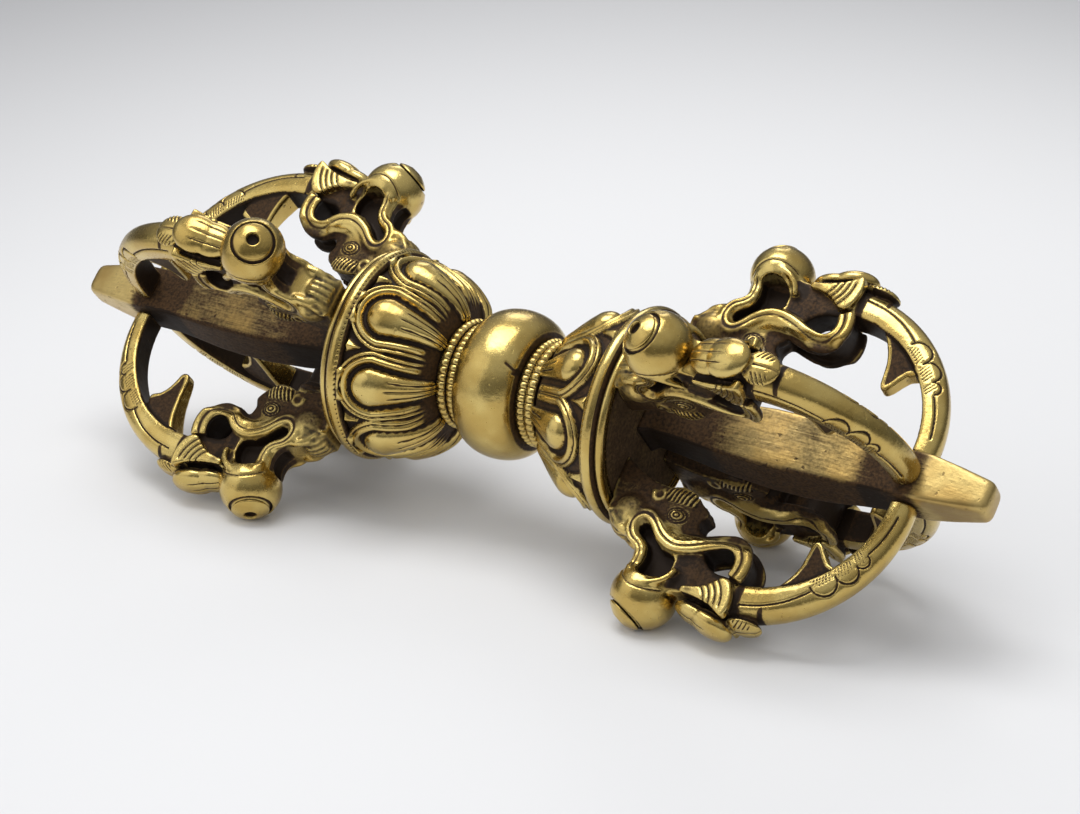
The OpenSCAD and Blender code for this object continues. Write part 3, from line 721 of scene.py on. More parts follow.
# Makara head: side forms are (x, r) from the middle of the vajra, across is the third number
makara = {
    "voxel": 0.2, "smooth": 2, "curlShift": {"right": 0.8, "left": -1.9}, "curlFrom": (39, 45),
    "outline": [(24.8, 7.6), (27.0, 8.8), (30.0, 10.2), (33.0, 10.7), (36.5, 10.9), (38.4, 11.5), (39.8, 12.6),
                (40.4, 13.5), (39.6, 14.7), (39.9, 15.9), (40.8, 17.0), (41.3, 18.4), (42.1, 20.0), (42.3, 25.2),
                (38.5, 26.5), (33.0, 26.5), (31.9, 24.6), (32.1, 22.8), (31.8, 21.3), (30.6, 19.9), (28.4, 18.5),
                (26.2, 17.4), (25.2, 16.6), (25.2, 14.2), (24.8, 13.4)],
    "plateHalf": 2.8, "plateBevel": 0.5, "throatHalf": 2.62, "throatBevel": 0.3, "webHalf": 0.8, "cutHalf": 4,
    "mouth": [(33.9, 24.6), (34.2, 23.4), (34.3, 22.2), (34.0, 20.9), (33.3, 20.0), (32.3, 19.4), (31.6, 18.8),
              (31.4, 18.0), (31.8, 17.3), (32.6, 17.2), (33.5, 18.0), (34.7, 19.4), (36.2, 20.6), (37.6, 20.9),
              (38.5, 21.2), (38.8, 22.2), (38.7, 23.4), (38.1, 24.6), (37.1, 25.4), (35.8, 25.6), (34.7, 25.3)],
    "throat": [(39.5, 19.6), (42.0, 18.8), (42.5, 20.2), (43.4, 21.2), (44.8, 21.8), (46.8, 21.9), (48.4, 22.3),
               (48.6, 25.3), (42.0, 25.6), (39.5, 25.0)],
    "band": [(33.0, 25.2), (33.3, 24.0), (33.4, 22.6), (33.1, 21.4), (32.3, 20.6), (31.2, 20.0), (30.5, 19.1),
             (30.2, 17.9), (30.5, 16.8), (31.3, 16.05), (32.5, 16.0), (33.8, 16.9), (35.2, 18.3), (36.6, 19.2),
             (38.0, 19.6), (39.6, 19.4), (41.2, 18.8), (43.0, 17.8), (44.8, 17.1), (46.4, 17.2), (47.6, 18.1),
             (48.2, 19.4), (48.2, 20.9), (47.8, 22.2)],
    "bandShare": [0.0, 0.16, 0.36, 0.52, 0.66, 0.8, 1.0],  # along the band: jaw, loop, lip, curl
    "innerOff": [0.42, 0.42, 0.42, 0.45, 0.50, 0.60, 0.55],
    "innerRadius": [0.36, 0.36, 0.42, 0.62, 0.66, 0.60, 0.55],
    "outerOff": [-0.42, -0.42, -0.45, -0.60, -0.62, -0.8, -0.8],
    "outerRadius": [0.36, 0.36, 0.36, 0.34, 0.40, 0.8, 0.85],
    "shoulderRadius": [0.0, 0.0, 0.3, 0.85, 0.85, 0.3, 0.0],
    "bandAcross": 3.3, "shoulderOff": -1.35, "shoulderAcross": 2.508, "shoulderLeast": 0.25,
    "ribbonFrom": 0.3, "ribbonWide": 1.2, "ribbonHalf": 3.2, "pathSpacing": 0.3,
    "hood": [(32.7, 24.3), (33.5, 25.6), (34.9, 26.5), (36.6, 26.6), (38.2, 26.0), (39.4, 24.8), (39.9, 23.2)],
    "hoodAcross": 3.6, "hoodSwell": 1.0, "hoodBar": 0.5,
    "ball": ((35.15, 27.25, 0), (5.0, 4.85, 5.2)), "cheek": ((28.9, 15.7, 0), (3.7, 3.4, 4.1)),
    "faceBalls": {"eye": ((36.2, 14.9, 2.5), (1.8, 1.2, 0.75), 10), "brow": ((36.0, 11.7, 2.5), (2.8, 1.4, 0.8), 5),
                  "nose": ((39.2, 13.0, 1.4), (1.2, 0.9, 1.3), 30), "lip": ((39.6, 16.9, 1.4), (1.2, 1.2, 1.3), 0),
                  "ear": ((28.8, 18.9, 2.6), (2.0, 0.75, 0.75), 24)},
    "browCurl": (32.3, 12.4, 2.9), "browCurlR": 0.9, "browCurlTurn": (-1.2, 3.6), "browCurlBar": 0.35,
    "maneRibs": 7, "maneHalf": 3.0, "maneRun": (25.5, 28.4), "manePoints": 8, "maneBar": (0.36, 0.24),
    "maneSwell": (3.75, 3.4, 4.2), "maneLift": 0.3, "maneLeast": 0.02,
    "slimX": (36, 41), "slimR": (16.4, 18.2), "slim": 0.3, "sideways": (0.25, 0.7),
    "hoodLine": 1.15, "hoodLineWide": 0.15, "hoodLineAcross": (2.8, 3.6),
    "eyeRings": (0.38, 0.82, 1.15), "eyeRingWide": 0.11, "eyeLong": 1.35, "eyeAcross": 2.0,
    "comb": (33.5, 38.5, 10.9, 12.9), "combRibs": 7, "combLean": 0.35, "combAcross": 1.4,
    "jawTilt": 0.2, "jawFacing": (0.25, 0.6), "jawR": (20.6, 24.4, 0.5), "jawX": 33.6, "jawAcross": (0.7, 1.5),
    "deep": {"hoodLine": 0.22, "eyeRings": 0.2, "comb": 0.36, "jaw": 0.8},
    "ledgeR": 3.2, "ledgeWide": 0.34, "ledgeDeep": 0.6, "seatFrom": 2.5, "seatR": 4.2, "ledgeFrom": 2.9,
    "faceR": (15.6, 17.6), "faceX": (31.5, 33.0), "faceDirt": 0.42, "snoutDirt": 0.2, "faceKeep": 0.3,
    "insideAcross": (2.3, 3.0), "insideX": (30.0, 32.5), "insideDirt": 0.85, "wallX": (33.5, 36.5), "wallShade": 0.6,
    "belowBall": (23.8, 25.6), "throatX": (38.6, 39.6), "throatR": (20.0, 26.0, 0.4), "throatAcross": (2.9, 3.3),
    "throatDirt": 0.9, "footR": (10.5, 13.5), "footX": 33, "footDirt": 0.75,
    "backR": (20.5, 23.5), "backX": (30.0, 33.0), "slitShare": [0.4, 0.55, 0.7], "slitOff": [0, -0.15, -0.1],
    "slitWide": 0.17, "slitAcross": (2.8, 3.2), "curlX": (43.5, 45.5), "curlR": (22.2, 23.0),
    "maneX": (25.0, 28.6), "maneR": (16.6, 19.6), "maneGreen": 0.45,
    "reach": 4.5, "fine": (3, 6, -0.3, 0.65), "worn": (3, -10, 0, 1), "cutDirt": 2.2, "cutMost": 0.7, "clean": 0.10,
    "dirtAndShade": {"shade": 0.9, "fine": 1, "cuts": 1, "dark": 1, "back": 0.18, "slit": 0.7, "jaw": 0.8, "curl": 0.25,
             "mane": 0.3, "ledge": 0.75},
}


def curlMoved(path, facts, shift):  # the two ends have trunks of unlike length
    p = np.array(path, float)
    p[:, 0] += shift * smoothStep(*facts["curlFrom"], p[:, 0])
    return p


def addMakaraSide(bm, facts, band, hood, m):  # m is -1 or 1, one for each side of the arm
    share = np.linspace(0, 1, len(band))
    keys = ("innerOff", "innerRadius", "outerOff", "outerRadius", "shoulderRadius")
    along = {key: np.interp(share, facts["bandShare"], facts[key]) for key in keys}
    across = np.full(len(band), facts["bandAcross"] * m)
    for edge in ("inner", "outer"):
        path = offsetPath(band, along[edge + "Off"])
        addBar(bm, np.column_stack([path, across]), along[edge + "Radius"])
    shoulderAcross = np.full(len(band), facts["shoulderAcross"] * m)
    shoulder = np.column_stack([offsetPath(band, facts["shoulderOff"]), shoulderAcross])
    used = along["shoulderRadius"] > facts["shoulderLeast"]
    addBar(bm, shoulder[used], along["shoulderRadius"][used])
    hoodAcross = facts["hoodAcross"] + facts["hoodSwell"] * np.sin(np.linspace(0, math.pi, len(hood)))
    addBar(bm, np.column_stack([hood, hoodAcross * m]), facts["hoodBar"])
    for (x, r, out), radii, tilt in facts["faceBalls"].values():
        addBall(bm, (x, r, out * m), radii, tilt)
    x, r, out = facts["browCurl"]
    turns = np.linspace(*facts["browCurlTurn"], 16)
    curl = [(x + facts["browCurlR"] * math.cos(a), r + facts["browCurlR"] * math.sin(a), out * m) for a in turns]
    addBar(bm, curl, facts["browCurlBar"])


def addMane(bm, facts):
    cheekX, cheekR = facts["cheek"][0][:2]
    swellX, swellR, swellAcross = facts["maneSwell"]
    count = facts["manePoints"]
    xs = np.linspace(*facts["maneRun"], count)
    for across in np.linspace(-facts["maneHalf"], facts["maneHalf"], facts["maneRibs"]):
        inside = 1 - ((xs - cheekX) / swellX) ** 2 - (across / swellAcross) ** 2
        rise = np.sqrt(np.clip(inside, facts["maneLeast"], 1)) * swellR + cheekR + facts["maneLift"]
        rib = np.column_stack([xs, rise, np.full(count, across)])
        addBar(bm, rib, np.linspace(*facts["maneBar"], count))


def makaraForm(facts, shift, band, hood):
    bm = bmesh.new()
    outline = curveThrough(facts["outline"] + facts["outline"][:1], 3)[:-1]
    addSlab(bm, curlMoved(outline, facts, shift), facts["plateHalf"], facts["plateBevel"])
    addSlab(bm, curlMoved(facts["throat"], facts, shift), facts["throatHalf"], facts["throatBevel"])
    addBall(bm, *facts["ball"])
    addBall(bm, *facts["cheek"])
    ribbon = band[np.linspace(0, 1, len(band)) > facts["ribbonFrom"]]
    addSlab(bm, ribbonOutline(ribbon, facts["ribbonWide"]), facts["ribbonHalf"])
    addMane(bm, facts)
    cutter = bmesh.new()
    for m in (-1, 1):
        addMakaraSide(bm, facts, band, hood, m)
        place = Matrix.Translation((0, 0, m * (facts["webHalf"] + facts["cutHalf"])))
        addSlab(cutter, facts["mouth"], facts["cutHalf"], 0, place)
    return joinForms(bm, facts["voxel"], facts["smooth"], "makara", cutter)


# Line along the hood, rings of the eye, comb of the brow, and the hollow behind the jaw
def makaraCuts(facts, hood, co, no, sideways):
    x, r, across = co[:, 0], co[:, 1], np.abs(co[:, 2])
    line = groove(distanceTo(co[:, :2], offsetPath(hood, facts["hoodLine"])), facts["hoodLineWide"])
    eyeX, eyeR = facts["faceBalls"]["eye"][0][:2]
    eyeAway = np.hypot((x - eyeX) / facts["eyeLong"], r - eyeR)
    rings = sum(groove(eyeAway - ring, facts["eyeRingWide"]) for ring in facts["eyeRings"])
    low, high, foot, top = facts["comb"]
    inComb = between(r, foot, top, 0.2) * between(x, low, high, 0.1) * (across > facts["combAcross"])
    comb = waves(x + facts["combLean"] * r - low, (high - low) / facts["combRibs"]) ** 2
    jaw = smoothStep(*facts["jawFacing"], facts["jawTilt"] * no[:, 1] - no[:, 0]) * between(r, *facts["jawR"])
    return {"hoodLine": line * smoothStep(*facts["hoodLineAcross"], across),
            "eyeRings": rings * sideways * (across > facts["eyeAcross"]), "comb": comb * inComb,
            "jaw": jaw * (x < facts["jawX"]) * fadeOut(*facts["jawAcross"], across)}


# Worn flats where the vajra lies, then the seat of the jewel stud with a ledge round it
def flattenMakara(facts, co):
    for m in (-1, 1):
        facing = np.array([0, math.cos(math.pi / 4), m * math.sin(math.pi / 4)])
        co -= np.clip(co @ facing - restHeight, 0, None)[:, None] * facing
    axis = np.array(studAxis)
    fromBall = co - np.array([*stud["ball"], 0])
    up = fromBall @ axis
    away = np.linalg.norm(fromBall - up[:, None] * axis, axis=1)
    ledge = groove(away - facts["ledgeR"], facts["ledgeWide"])
    onSeat = (up > facts["seatFrom"]) & (away < facts["seatR"])
    drop = np.clip(up - stud["seat"] + facts["ledgeDeep"] * ledge, 0, None)
    co -= np.where(onSeat, drop, 0)[:, None] * axis
    return ledge * onSeat * (up > facts["ledgeFrom"])


# Dark below the snout ball: deep in between the sides, painted shade on the walls that do not face sideways, and
# patina on the face
def makaraDarkness(facts, x, r, across, sideways, face):
    inside = fadeOut(*facts["insideAcross"], across) * smoothStep(*facts["insideX"], x)
    # painted shade on the walls that do not face sideways
    wall = (1 - sideways) * smoothStep(*facts["wallX"], x)
    dark = np.maximum(np.maximum(facts["insideDirt"] * inside, facts["wallShade"] * wall), face)
    throat = smoothStep(*facts["throatX"], x) * between(r, *facts["throatR"])
    throat *= fadeOut(*facts["throatAcross"], across)
    foot = fadeOut(*facts["footR"], r) * (x < facts["footX"])
    dark = np.maximum(fadeOut(*facts["belowBall"], r) * dark, facts["throatDirt"] * throat)
    return np.maximum(dark, facts["footDirt"] * foot)


def slitMask(facts, band, flat, across, sideways):  # dark line between the two edges of the lip
    off = np.interp(np.linspace(0, 1, len(band)), facts["slitShare"], facts["slitOff"])
    line = groove(distanceTo(flat, offsetPath(band, off)), facts["slitWide"])
    return line * sideways * smoothStep(*facts["slitAcross"], across)


def ageMakara(mesh, facts, shift, across, sideways, masks):
    x, r, _ = points(mesh).T
    face = fadeOut(*facts["faceR"], r) * (facts["faceDirt"] + facts["snoutDirt"] * smoothStep(*facts["faceX"], x))
    # painted shade: the share of rays the head blocks itself darkens it along with its patina
    masks["shade"] = shadedShare(mesh, facts["reach"])
    masks["fine"] = hollows(mesh, *facts["fine"])
    masks["dark"] = makaraDarkness(facts, x, r, across, sideways, face)
    masks["back"] = fadeOut(*facts["backR"], r) * fadeOut(*facts["backX"], x)
    masks["curl"] = smoothStep(*facts["curlX"], x - shift) * fadeOut(*facts["curlR"], r)
    masks["mane"] = between(x, *facts["maneX"]) * between(r, *facts["maneR"])
    storeAttribute(mesh, "patinaAndShade", weigh(facts["dirtAndShade"], masks) - facts["clean"])
    storeAttribute(mesh, "wear", hollows(mesh, *facts["worn"]) * (1 - facts["faceKeep"] * face))
    storeAttribute(mesh, "verdigris", facts["maneGreen"] * masks["mane"])


def makeMakaras(facts, side):
    shift = facts["curlShift"][side]
    band = curlMoved(evenly(curveThrough(facts["band"], 8), facts["pathSpacing"]), facts, shift)
    hood = evenly(curveThrough(facts["hood"], 6), facts["pathSpacing"])
    mesh = makaraForm(facts, shift, band, hood)
    co = points(mesh)
    co[:, 2] *= 1 - facts["slim"] * smoothStep(*facts["slimX"], co[:, 0]) * fadeOut(*facts["slimR"], co[:, 1])
    setPoints(mesh, co)
    no, flat, across = normals(mesh), co[:, :2].copy(), np.abs(co[:, 2])
    sideways = smoothStep(*facts["sideways"], np.abs(no[:, 2]))
    masks = makaraCuts(facts, hood, co, no, sideways)
    depth = weigh(facts["deep"], masks)
    co -= no * depth[:, None]
    masks["cuts"] = np.clip(depth * facts["cutDirt"], 0, facts["cutMost"])
    masks["ledge"] = flattenMakara(facts, co)
    masks["slit"] = slitMask(facts, band, flat, across, sideways)
    setPoints(mesh, co)
    ageMakara(mesh, facts, shift, across, sideways, masks)
    finishArms(mesh, side, "makara", "makara")


for side in sides:
    makeMakaras(makara, side)
print("makara heads made")

# Curved prong: a domed strap on an arc, with barb, calyx petals and engraved clouds
prong = {
    "voxel": 0.185, "smooth": 2, "middle": (47.55, 5.4), "outer": 22.0, "innerMiddle": (48.25, 4.7), "inner": 17.9,
    "half": 2.9, "endHalf": 2.2, "taper": (50, 69.6), "fromDeg": 92, "toDeg": -4, "steps": 70, "seat": 3.75,
    "wall": 1.3, "crown": 3.5, "crownRound": 0.8, "foot": [(0.0, 0.9), (0.5, 0.97)],  # rise, share of the half width
    "calyxShift": {"right": 0.4, "left": -1.2}, "barbShift": {"right": 0.0, "left": -2.2},
    "stem": [(43.4, 22.9), (48.5, 22.9), (48.5, 26.8), (43.4, 26.2)], "stemHalf": 2.465, "stemBevel": 0.4,
    "barb": {"right": [(53.8, 23.0), (55.4, 20.6), (56.4, 18.6), (56.9, 16.6), (57.0, 14.8), (57.1, 13.5),
                       (57.4, 12.8), (58.0, 12.6), (58.9, 13.3), (59.8, 14.5), (60.8, 15.6), (62.3, 16.4)],
             "left": [(53.8, 23.0), (54.9, 20.6), (55.6, 18.4), (56.0, 16.0), (56.3, 13.6), (56.7, 12.4),
                      (57.4, 12.0), (58.2, 12.4), (58.6, 13.8), (59.2, 15.2), (60.1, 16.3), (61.6, 17.2)]},
    "barbFoot": [(60.6, 19.6), (57.4, 22.0)], "barbHalf": 1.7, "barbBevel": 0.9,
    "barbR": [12, 17, 21], "barbThick": [0.65, 0.9, 1.3],
    "bud": [((43.6, 27.9, 0), (3.6, 1.5, 2.9), 12), ((46.3, 28.7, 0), (3.8, 1.75, 3.15), 14)],
    "leaf": ((51.3, 27.8, 0), (2.8, 0.95, 2.7), -6),
    "petal": [(41.2, 25.2), (43.2, 24.9), (45.0, 24.2), (46.2, 23.2), (47.2, 22.6), (48.4, 22.9), (49.2, 24.2),
              (49.6, 25.8), (49.6, 27.2), (49.2, 28.3), (48.4, 28.1), (46.8, 27.2), (44.8, 26.6), (43.0, 26.3),
              (41.2, 26.2)],
    "petalMiddle": (45, 25), "petalAcross": 3.1, "petalLean": 5, "petalHalf": 0.85, "petalBevel": 0.45,
    "line": [(81, 3.036), (72, 2.944), (62, 2.668), (53, 2.208), (50, 2.024)],  # degrees round the arc, rise
    "lobes": [(50, 38.5, 1.512, 3.528), (38.5, 29, 2.016, 3.528), (29, 23, 2.016, 3.024)],
    "tail": [(22, 1.84), (14, 2.0), (3, 2.08)], "arcR": 20.0, "lineWide": 0.15,
    "strapDeg": (-6, 81), "strapAcross": 1.2, "strapRise": 0.1,
    "strokePitch": 0.52, "strokeLean": 0.45, "strokeInset": 0.8, "strokeRise": 0.5, "strokeOver": 0.252,
    "barbRise": 0.2, "barbX": (53.0, 62.6, 0.2), "barbFrom": 11, "barbFacing": (0.3, 0.8), "barbRim": (0.35, 0.95),
    "budFoot": (44, 27.0, 0.22), "budX": 50.3, "budAcross": 2.7, "flutes": (-1.6, 0.0, 1.6), "fluteWide": 0.11,
    "fluteX": [41, 46, 50], "fluteSpread": [0.8, 1.0, 0.7], "fluteEnd": (45.2, 47.0),
    "shell": (41.6, 27.2), "shellTall": 1.1, "shellPitch": 0.95, "shellRun": (3.6, 7.0), "shellTop": (26.6, 27.6),
    "petalX": (43.4, 49.9), "petalOut": 2.75, "petalTop": 28.6,
    "cleftFoot": (44, 26.9, 0.2), "cleftWide": 0.5, "cleftAcross": (2.3, 3.3, 0.2), "cleftX": (41.3, 48.0),
    "leafGrow": 1.3, "leafX": 50.3, "sawPitch": 0.72, "sawLean": 0.6, "sawAcross": (0.9, 1.4), "sawEnd": (52.6, 53.4),
    "leafVein": 0.14, "leafFacing": (0.1, 0.5), "leafShadow": (53.3, 54.0, 0.2), "leafShadowRise": 3.2,
    "deep": {"lines": 0.3, "strokes": 0.12, "barb": 0.1, "flutes": 0.17, "ribs": 0.26, "cleft": 0.45, "saw": 0.18},
    "underFacing": (0.3, 0.8), "underRise": (-0.4, 0.8), "underDeg": 86,
    "lowerRise": (0.2, 1.9), "lowerLeast": -0.3, "lowerDeg": 84, "lowerX": (48, 52),
    "collarX": (49.3, 50.4), "collarAcross": 3.4, "collarR": 27.2, "stemX": (48.6, 49.4), "stemAcross": 2.55,
    "stemR": 26.9, "tangX": (42.5, 44.5), "tangR": 27.0, "crownRise": (2.4, 3.4), "crownAcross": 0.9,
    "reach": 4.0, "fine": (3, 6, -0.3, 0.55), "wide": (20, 1.2, -0.1, 0.3), "worn": (3, -10, 0, 1), "clean": 0.12,
    "dirtAndShade": {"shade": 1.15, "fine": 1, "wide": 1, "lines": 0.85, "strokes": 0.4, "saw": 0.5, "lower": 0.35,
             "leafShade": 0.8, "crown": 0.1, "under": 0.7, "collar": 0.8, "stem": 0.6, "barb": 0.9, "flutes": 0.8,
             "ribs": 0.6, "cleft": 0.9},
}


def innerReach(facts, wayX, wayR):  # from the middle of the outer arc to the inner face
    nearX, nearR = np.subtract(facts["innerMiddle"], facts["middle"])
    near = nearX * wayX + nearR * wayR
    return near + np.sqrt(facts["inner"] ** 2 - nearX ** 2 - nearR ** 2 + near ** 2)


def strapSection(facts):
    half, power = facts["half"], facts["crownRound"]
    foot = [(rise, half * share) for rise, share in facts["foot"]]
    dome = []
    for t in np.linspace(0, math.pi, 15):
        across = math.copysign(abs(math.cos(t)) ** power, math.cos(t)) * half
        dome.append((facts["wall"] + math.sin(t) ** power * facts["crown"], across))
    return foot + dome + [(rise, -across) for rise, across in foot[::-1]]


def addStrap(bm, facts):
    mx, mr = facts["middle"]
    thick = facts["wall"] + facts["crown"]
    base = facts["outer"] - thick
    start = math.radians(facts["fromDeg"])
    verts = [bm.verts.new((mx + (base + rise) * math.cos(start), mr + (base + rise) * math.sin(start), across))
             for rise, across in strapSection(facts)]
    face = bm.faces.new(verts)
    sweep = math.radians(facts["toDeg"] - facts["fromDeg"])
    bmesh.ops.spin(bm, geom=verts + face.edges[:] + [face], cent=(mx, mr, 0), axis=(0, 0, 1), dvec=(0, 0, 0),
                   angle=sweep, steps=facts["steps"], use_merge=False, use_duplicate=False)
    for v in bm.verts:
        way = Vector((v.co.x - mx, v.co.y - mr))
        depth = (way.length - base) / thick  # 0 on the inner face, 1 on the crown
        way.normalize()
        inner = innerReach(facts, way.x, way.y)
        reach = inner + (facts["outer"] - inner) * depth
        taper = np.interp(v.co.x, facts["taper"], [1, facts["endHalf"] / facts["half"]])
        v.co = (mx + way.x * reach, mr + way.y * reach, v.co.z * taper)
    bmesh.ops.recalc_face_normals(bm, faces=bm.faces)


def prongForm(facts, side):
    bm = bmesh.new()
    addStrap(bm, facts)
    addSlab(bm, facts["stem"], facts["stemHalf"], facts["stemBevel"])
    barb = curveThrough(facts["barb"][side] + facts["barbFoot"], 3)
    addSlab(bm, barb, facts["barbHalf"], facts["barbBevel"], Matrix.Translation((facts["barbShift"][side], 0, 0)),
            lambda c: c.z * np.interp(c.y, facts["barbR"], facts["barbThick"]))
    calyx = facts["calyxShift"][side]
    for (x, r, across), radii, tilt in [*facts["bud"], facts["leaf"]]:
        addBall(bm, (x + calyx, r, across), radii, tilt)
    px, pr = facts["petalMiddle"]
    for m in (-1, 1):
        lean = Matrix.Rotation(math.radians(-facts["petalLean"] * m), 4, "Y") @ Matrix.Translation((-px, -pr, 0))
        place = Matrix.Translation((px + calyx, pr, facts["petalAcross"] * m)) @ lean
        addSlab(bm, curveThrough(facts["petal"], 3), facts["petalHalf"], facts["petalBevel"], place)
    return joinForms(bm, facts["voxel"], facts["smooth"], "prong")


def arcAt(facts, degrees):  # mm along the arc
    return np.radians(90 - degrees) * facts["arcR"]


# Engraved line, then the scalloped edge of the clouds with strokes inside, then the line to the end
def strapCuts(facts, turn, rise, across):
    arc = arcAt(facts, turn)
    path = [(arcAt(facts, degrees), high) for degrees, high in facts["line"]]
    strokes = np.zeros(len(turn))
    for fromDeg, toDeg, foot, top in facts["lobes"]:
        for bow in np.linspace(0, math.pi, 11):
            degrees = fromDeg + (toDeg - fromDeg) * (1 - math.cos(bow)) / 2
            path.append((arcAt(facts, degrees), foot + (top - foot) * math.sin(bow)))
        inLobe = (turn < fromDeg - facts["strokeInset"]) & (turn > toDeg + facts["strokeInset"])
        inLobe &= (rise > facts["strokeRise"]) & (rise < foot + facts["strokeOver"])
        stroke = waves(arc + facts["strokeLean"] * rise, facts["strokePitch"]) ** 3
        strokes = np.maximum(strokes, inLobe * stroke)
    tail = [(arcAt(facts, degrees), high) for degrees, high in facts["tail"]]
    unrolled = np.column_stack([arc, rise])
    away = np.minimum(distanceTo(unrolled, path), distanceTo(unrolled, tail))
    low, high = facts["strapDeg"]
    onStrap = (turn > low) & (turn < high) & (across > facts["strapAcross"]) & (rise > facts["strapRise"])
    return {"lines": groove(away, facts["lineWide"]) * onStrap, "strokes": strokes * onStrap}


# Flutes of the bud, shell ribs of the side petals and the cleft between them
def calyxCuts(facts, x, r, z, no):
    across = np.abs(z)
    footX, footR, slope = facts["budFoot"]
    onBud = (r > footR + slope * (x - footX)) & (x < facts["budX"]) & (no[:, 1] > 0) & (across < facts["budAcross"])
    spread = np.interp(x, facts["fluteX"], facts["fluteSpread"])
    flutes = np.max([groove(z - place * spread, facts["fluteWide"]) for place in facts["flutes"]], axis=0)
    low, high = facts["petalX"]
    onPetal = (across > facts["petalOut"]) & (x > low) & (x < high) & (r < facts["petalTop"])
    shell = np.hypot(x - facts["shell"][0], (r - facts["shell"][1]) * facts["shellTall"])
    ribs = waves(shell, facts["shellPitch"]) ** 5 * onPetal * between(shell, *facts["shellRun"])
    footX, footR, slope = facts["cleftFoot"]
    cleft = groove(r - footR - slope * (x - footX), facts["cleftWide"]) * between(across, *facts["cleftAcross"])
    return {"flutes": flutes * onBud * fadeOut(*facts["fluteEnd"], x),
            "ribs": ribs * fadeOut(*facts["shellTop"], r), "cleft": cleft * between(x, *facts["cleftX"])}


# Saw edge and middle line of the leaf, painted shade on its underside and a painted shadow on the strap before it
def leafCuts(facts, x, r, across, no, rise):
    middle, radii, _ = facts["leaf"]
    away = ((x - middle[0]) / radii[0]) ** 2 + ((r - middle[1]) / radii[1]) ** 2 + (across / radii[2]) ** 2
    onLeaf = (away < facts["leafGrow"]) & (x > facts["leafX"])
    saw = waves(x - facts["sawLean"] * across, facts["sawPitch"]) ** 2 * smoothStep(*facts["sawAcross"], across)
    saw = np.maximum(saw * fadeOut(*facts["sawEnd"], x), groove(across, facts["leafVein"]))
    # painted shadow on the strap just before the leaf's end, and painted shade on the leaf's downward faces
    shadow = between(x, *facts["leafShadow"]) * (rise > facts["leafShadowRise"]) * (1 - onLeaf)
    under = onLeaf * smoothStep(*facts["leafFacing"], -no[:, 1]) + shadow
    return {"saw": saw * onLeaf * (no[:, 1] > 0), "leafShade": under}


def barbCuts(facts, side, barbX, r, no, rise):
    rim = distanceTo(np.column_stack([barbX, r]), facts["barb"][side])
    onBarb = (rise < facts["barbRise"]) * between(barbX, *facts["barbX"]) * (r > facts["barbFrom"])
    facing = smoothStep(*facts["barbFacing"], np.abs(no[:, 2]))
    return {"barb": onBarb * facing * smoothStep(*facts["barbRim"], rim)}


# Dark inner face, lower edge, collar and stem, and a little grime on the crown
def prongDirt(facts, x, r, across, turn, rise, outward):
    low, high = facts["underRise"]
    under = smoothStep(*facts["underFacing"], -outward) * (rise > low) * (rise < high) * (turn < facts["underDeg"])
    lower = fadeOut(*facts["lowerRise"], rise) * (rise > facts["lowerLeast"]) * (turn < facts["lowerDeg"])
    collar = between(x, *facts["collarX"]) * (across < facts["collarAcross"]) * (r < facts["collarR"])
    stem = fadeOut(*facts["stemX"], x) * (across < facts["stemAcross"]) * (r < facts["stemR"])
    tang = fadeOut(*facts["tangX"], x) * (r < facts["tangR"])
    crown = smoothStep(*facts["crownRise"], rise) * (turn < facts["strapDeg"][1]) * (across > facts["crownAcross"])
    return {"under": under, "lower": lower * smoothStep(*facts["lowerX"], x), "collar": collar,
            "stem": np.maximum(stem, tang), "crown": crown}


def makeProngs(facts, side):
    mesh = prongForm(facts, side)
    co, no = points(mesh), normals(mesh)
    x, r, across = co[:, 0] - facts["calyxShift"][side], co[:, 1], np.abs(co[:, 2])
    dx, dr = co[:, 0] - facts["middle"][0], r - facts["middle"][1]
    turn, reach = np.degrees(np.arctan2(dr, dx)), np.hypot(dx, dr)
    rise = reach - innerReach(facts, dx / reach, dr / reach)
    masks = strapCuts(facts, turn, rise, across)
    masks |= calyxCuts(facts, x, r, co[:, 2], no)
    masks |= leafCuts(facts, x, r, across, no, rise)
    masks |= barbCuts(facts, side, co[:, 0] - facts["barbShift"][side], r, no, rise)
    co -= no * weigh(facts["deep"], masks)[:, None]
    co[:, 1] = np.maximum(co[:, 1], facts["seat"])
    setPoints(mesh, co)
    masks |= prongDirt(facts, x, r, across, turn, rise, (no[:, 0] * dx + no[:, 1] * dr) / reach)
    # painted shade: the share of rays the prong blocks itself darkens it along with its patina
    masks["shade"] = shadedShare(mesh, facts["reach"])
    masks["fine"] = hollows(mesh, *facts["fine"])
    masks["wide"] = hollows(mesh, *facts["wide"])
    storeAttribute(mesh, "patinaAndShade", weigh(facts["dirtAndShade"], masks) - facts["clean"])
    storeAttribute(mesh, "wear", hollows(mesh, *facts["worn"]))
    finishArms(mesh, side, "curved_prong", "curvedProng")


for side in sides:
    makeProngs(prong, side)
print("curved prongs made")

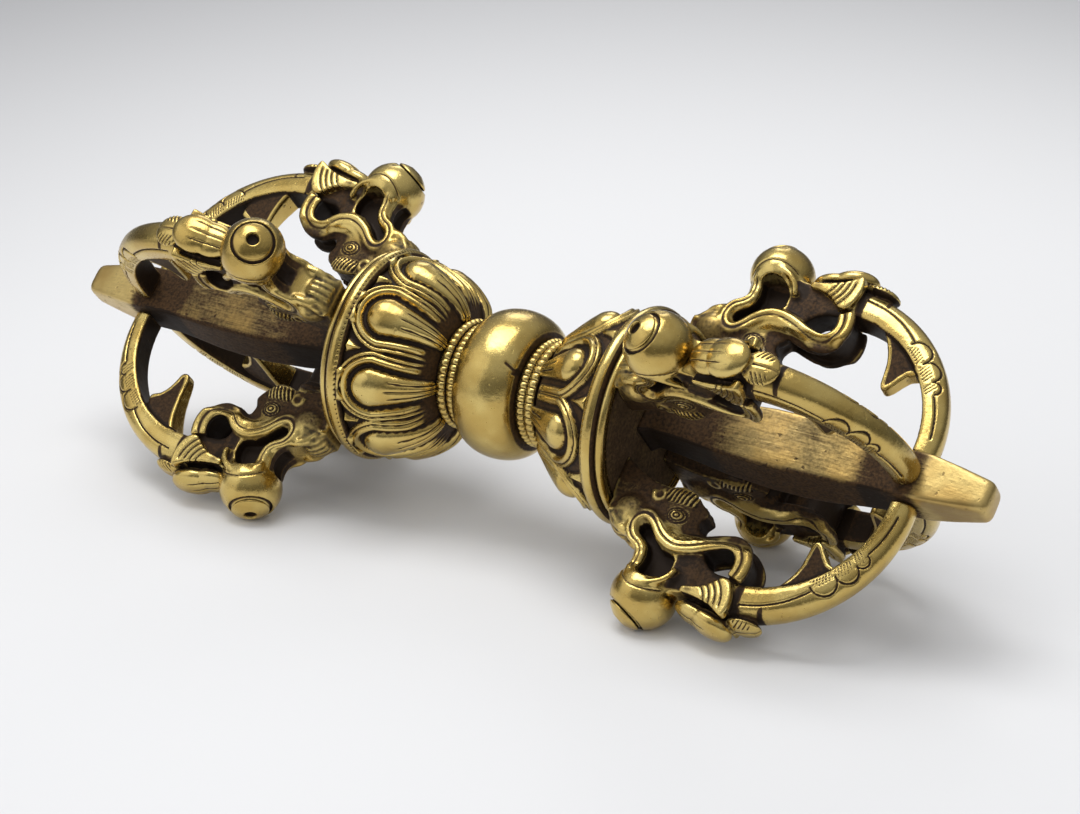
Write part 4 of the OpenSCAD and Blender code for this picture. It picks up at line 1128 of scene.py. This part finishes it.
# Axial prong: a square bar swelling in the cage, its corners worn round towards a domed end
axial = {"halves": [(24.8, 3.75), (26.2, 3.1), (27.0, 3.1), (32.0, 3.55), (38.0, 4.2), (45.0, 4.6), (51.0, 4.62),
                    (55.0, 4.45), (60.0, 3.95), (63.4, 3.7), (70.4, 3.68), (75.0, 3.15), (79.0, 2.6), (79.5, 2.45),
                    (79.85, 2.1), (80.05, 1.6), (80.13, 0.9)],
         "tip": 80.15, "steps": 160, "spacing": 0.4, "corner": [(24, 18), (68, 18), (76, 7), (80, 4)],
         "edge": (0.84, 0.97), "hubX": (30, 43), "under": (0.86, 0.97), "underX": (62, 70),
         "endsX": (60.5, 69.2, 1.6), "tipX": (68.5, 71.5), "edgeWear": 0.35, "tipWear": 0.5, "tipDirt": 0.02,
         "stain": {"left": 0.38, "right": 0.25}, "dirtAndShade": {"nearHub": 0.55, "nearEnds": 0.35, "under": 0.4}}


def makeAxial(facts):
    xs, halves = zip(*facts["halves"])
    bar = [tuple(p) for p in evenly(facts["halves"], facts["spacing"])]
    mesh = turnProfile([(xs[0], 0.0), *bar, (facts["tip"], 0.0)], facts["steps"], "axial_prong")
    co = points(mesh)
    x, turn = co[:, 0], np.arctan2(co[:, 2], co[:, 1])
    power = np.interp(x, *zip(*facts["corner"]))
    co[:, 1:] /= ((np.abs(np.cos(turn)) ** power + np.abs(np.sin(turn)) ** power) ** (1 / power))[:, None]
    setPoints(mesh, co)
    half = np.interp(x, xs, halves)
    edge = smoothStep(*facts["edge"], np.minimum(np.abs(co[:, 1]), np.abs(co[:, 2])) / half)
    tip = smoothStep(*facts["tipX"], x)
    # painted shade on the face turned down and to the front, fading out towards the end
    under = smoothStep(*facts["under"], -co[:, 1] / half) * fadeOut(*facts["underX"], x)
    masks = {"nearHub": fadeOut(*facts["hubX"], x), "nearEnds": between(x, *facts["endsX"]), "under": under}
    storeAttribute(mesh, "wear", edge * (facts["edgeWear"] + facts["tipWear"] * tip))
    for side in sides:
        stain = facts["stain"][side] * (1 - tip) + facts["tipDirt"]
        storeAttribute(mesh, "patinaAndShade", stain + weigh(facts["dirtAndShade"], masks))
        node = f"axial_prong_{side}"
        finishPiece(placed(mesh, side, armAngles[1], node), f"axialProng.{side}", brassAged, node)


makeAxial(axial)
print("axial prongs made")

# The moon discs and the hidden rod keep their CAD solids
for name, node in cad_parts.items():
    if not node.hide_render:
        node.data.materials.clear()
        node.data.materials.append(brassDark if "disc" in name else brassBright)
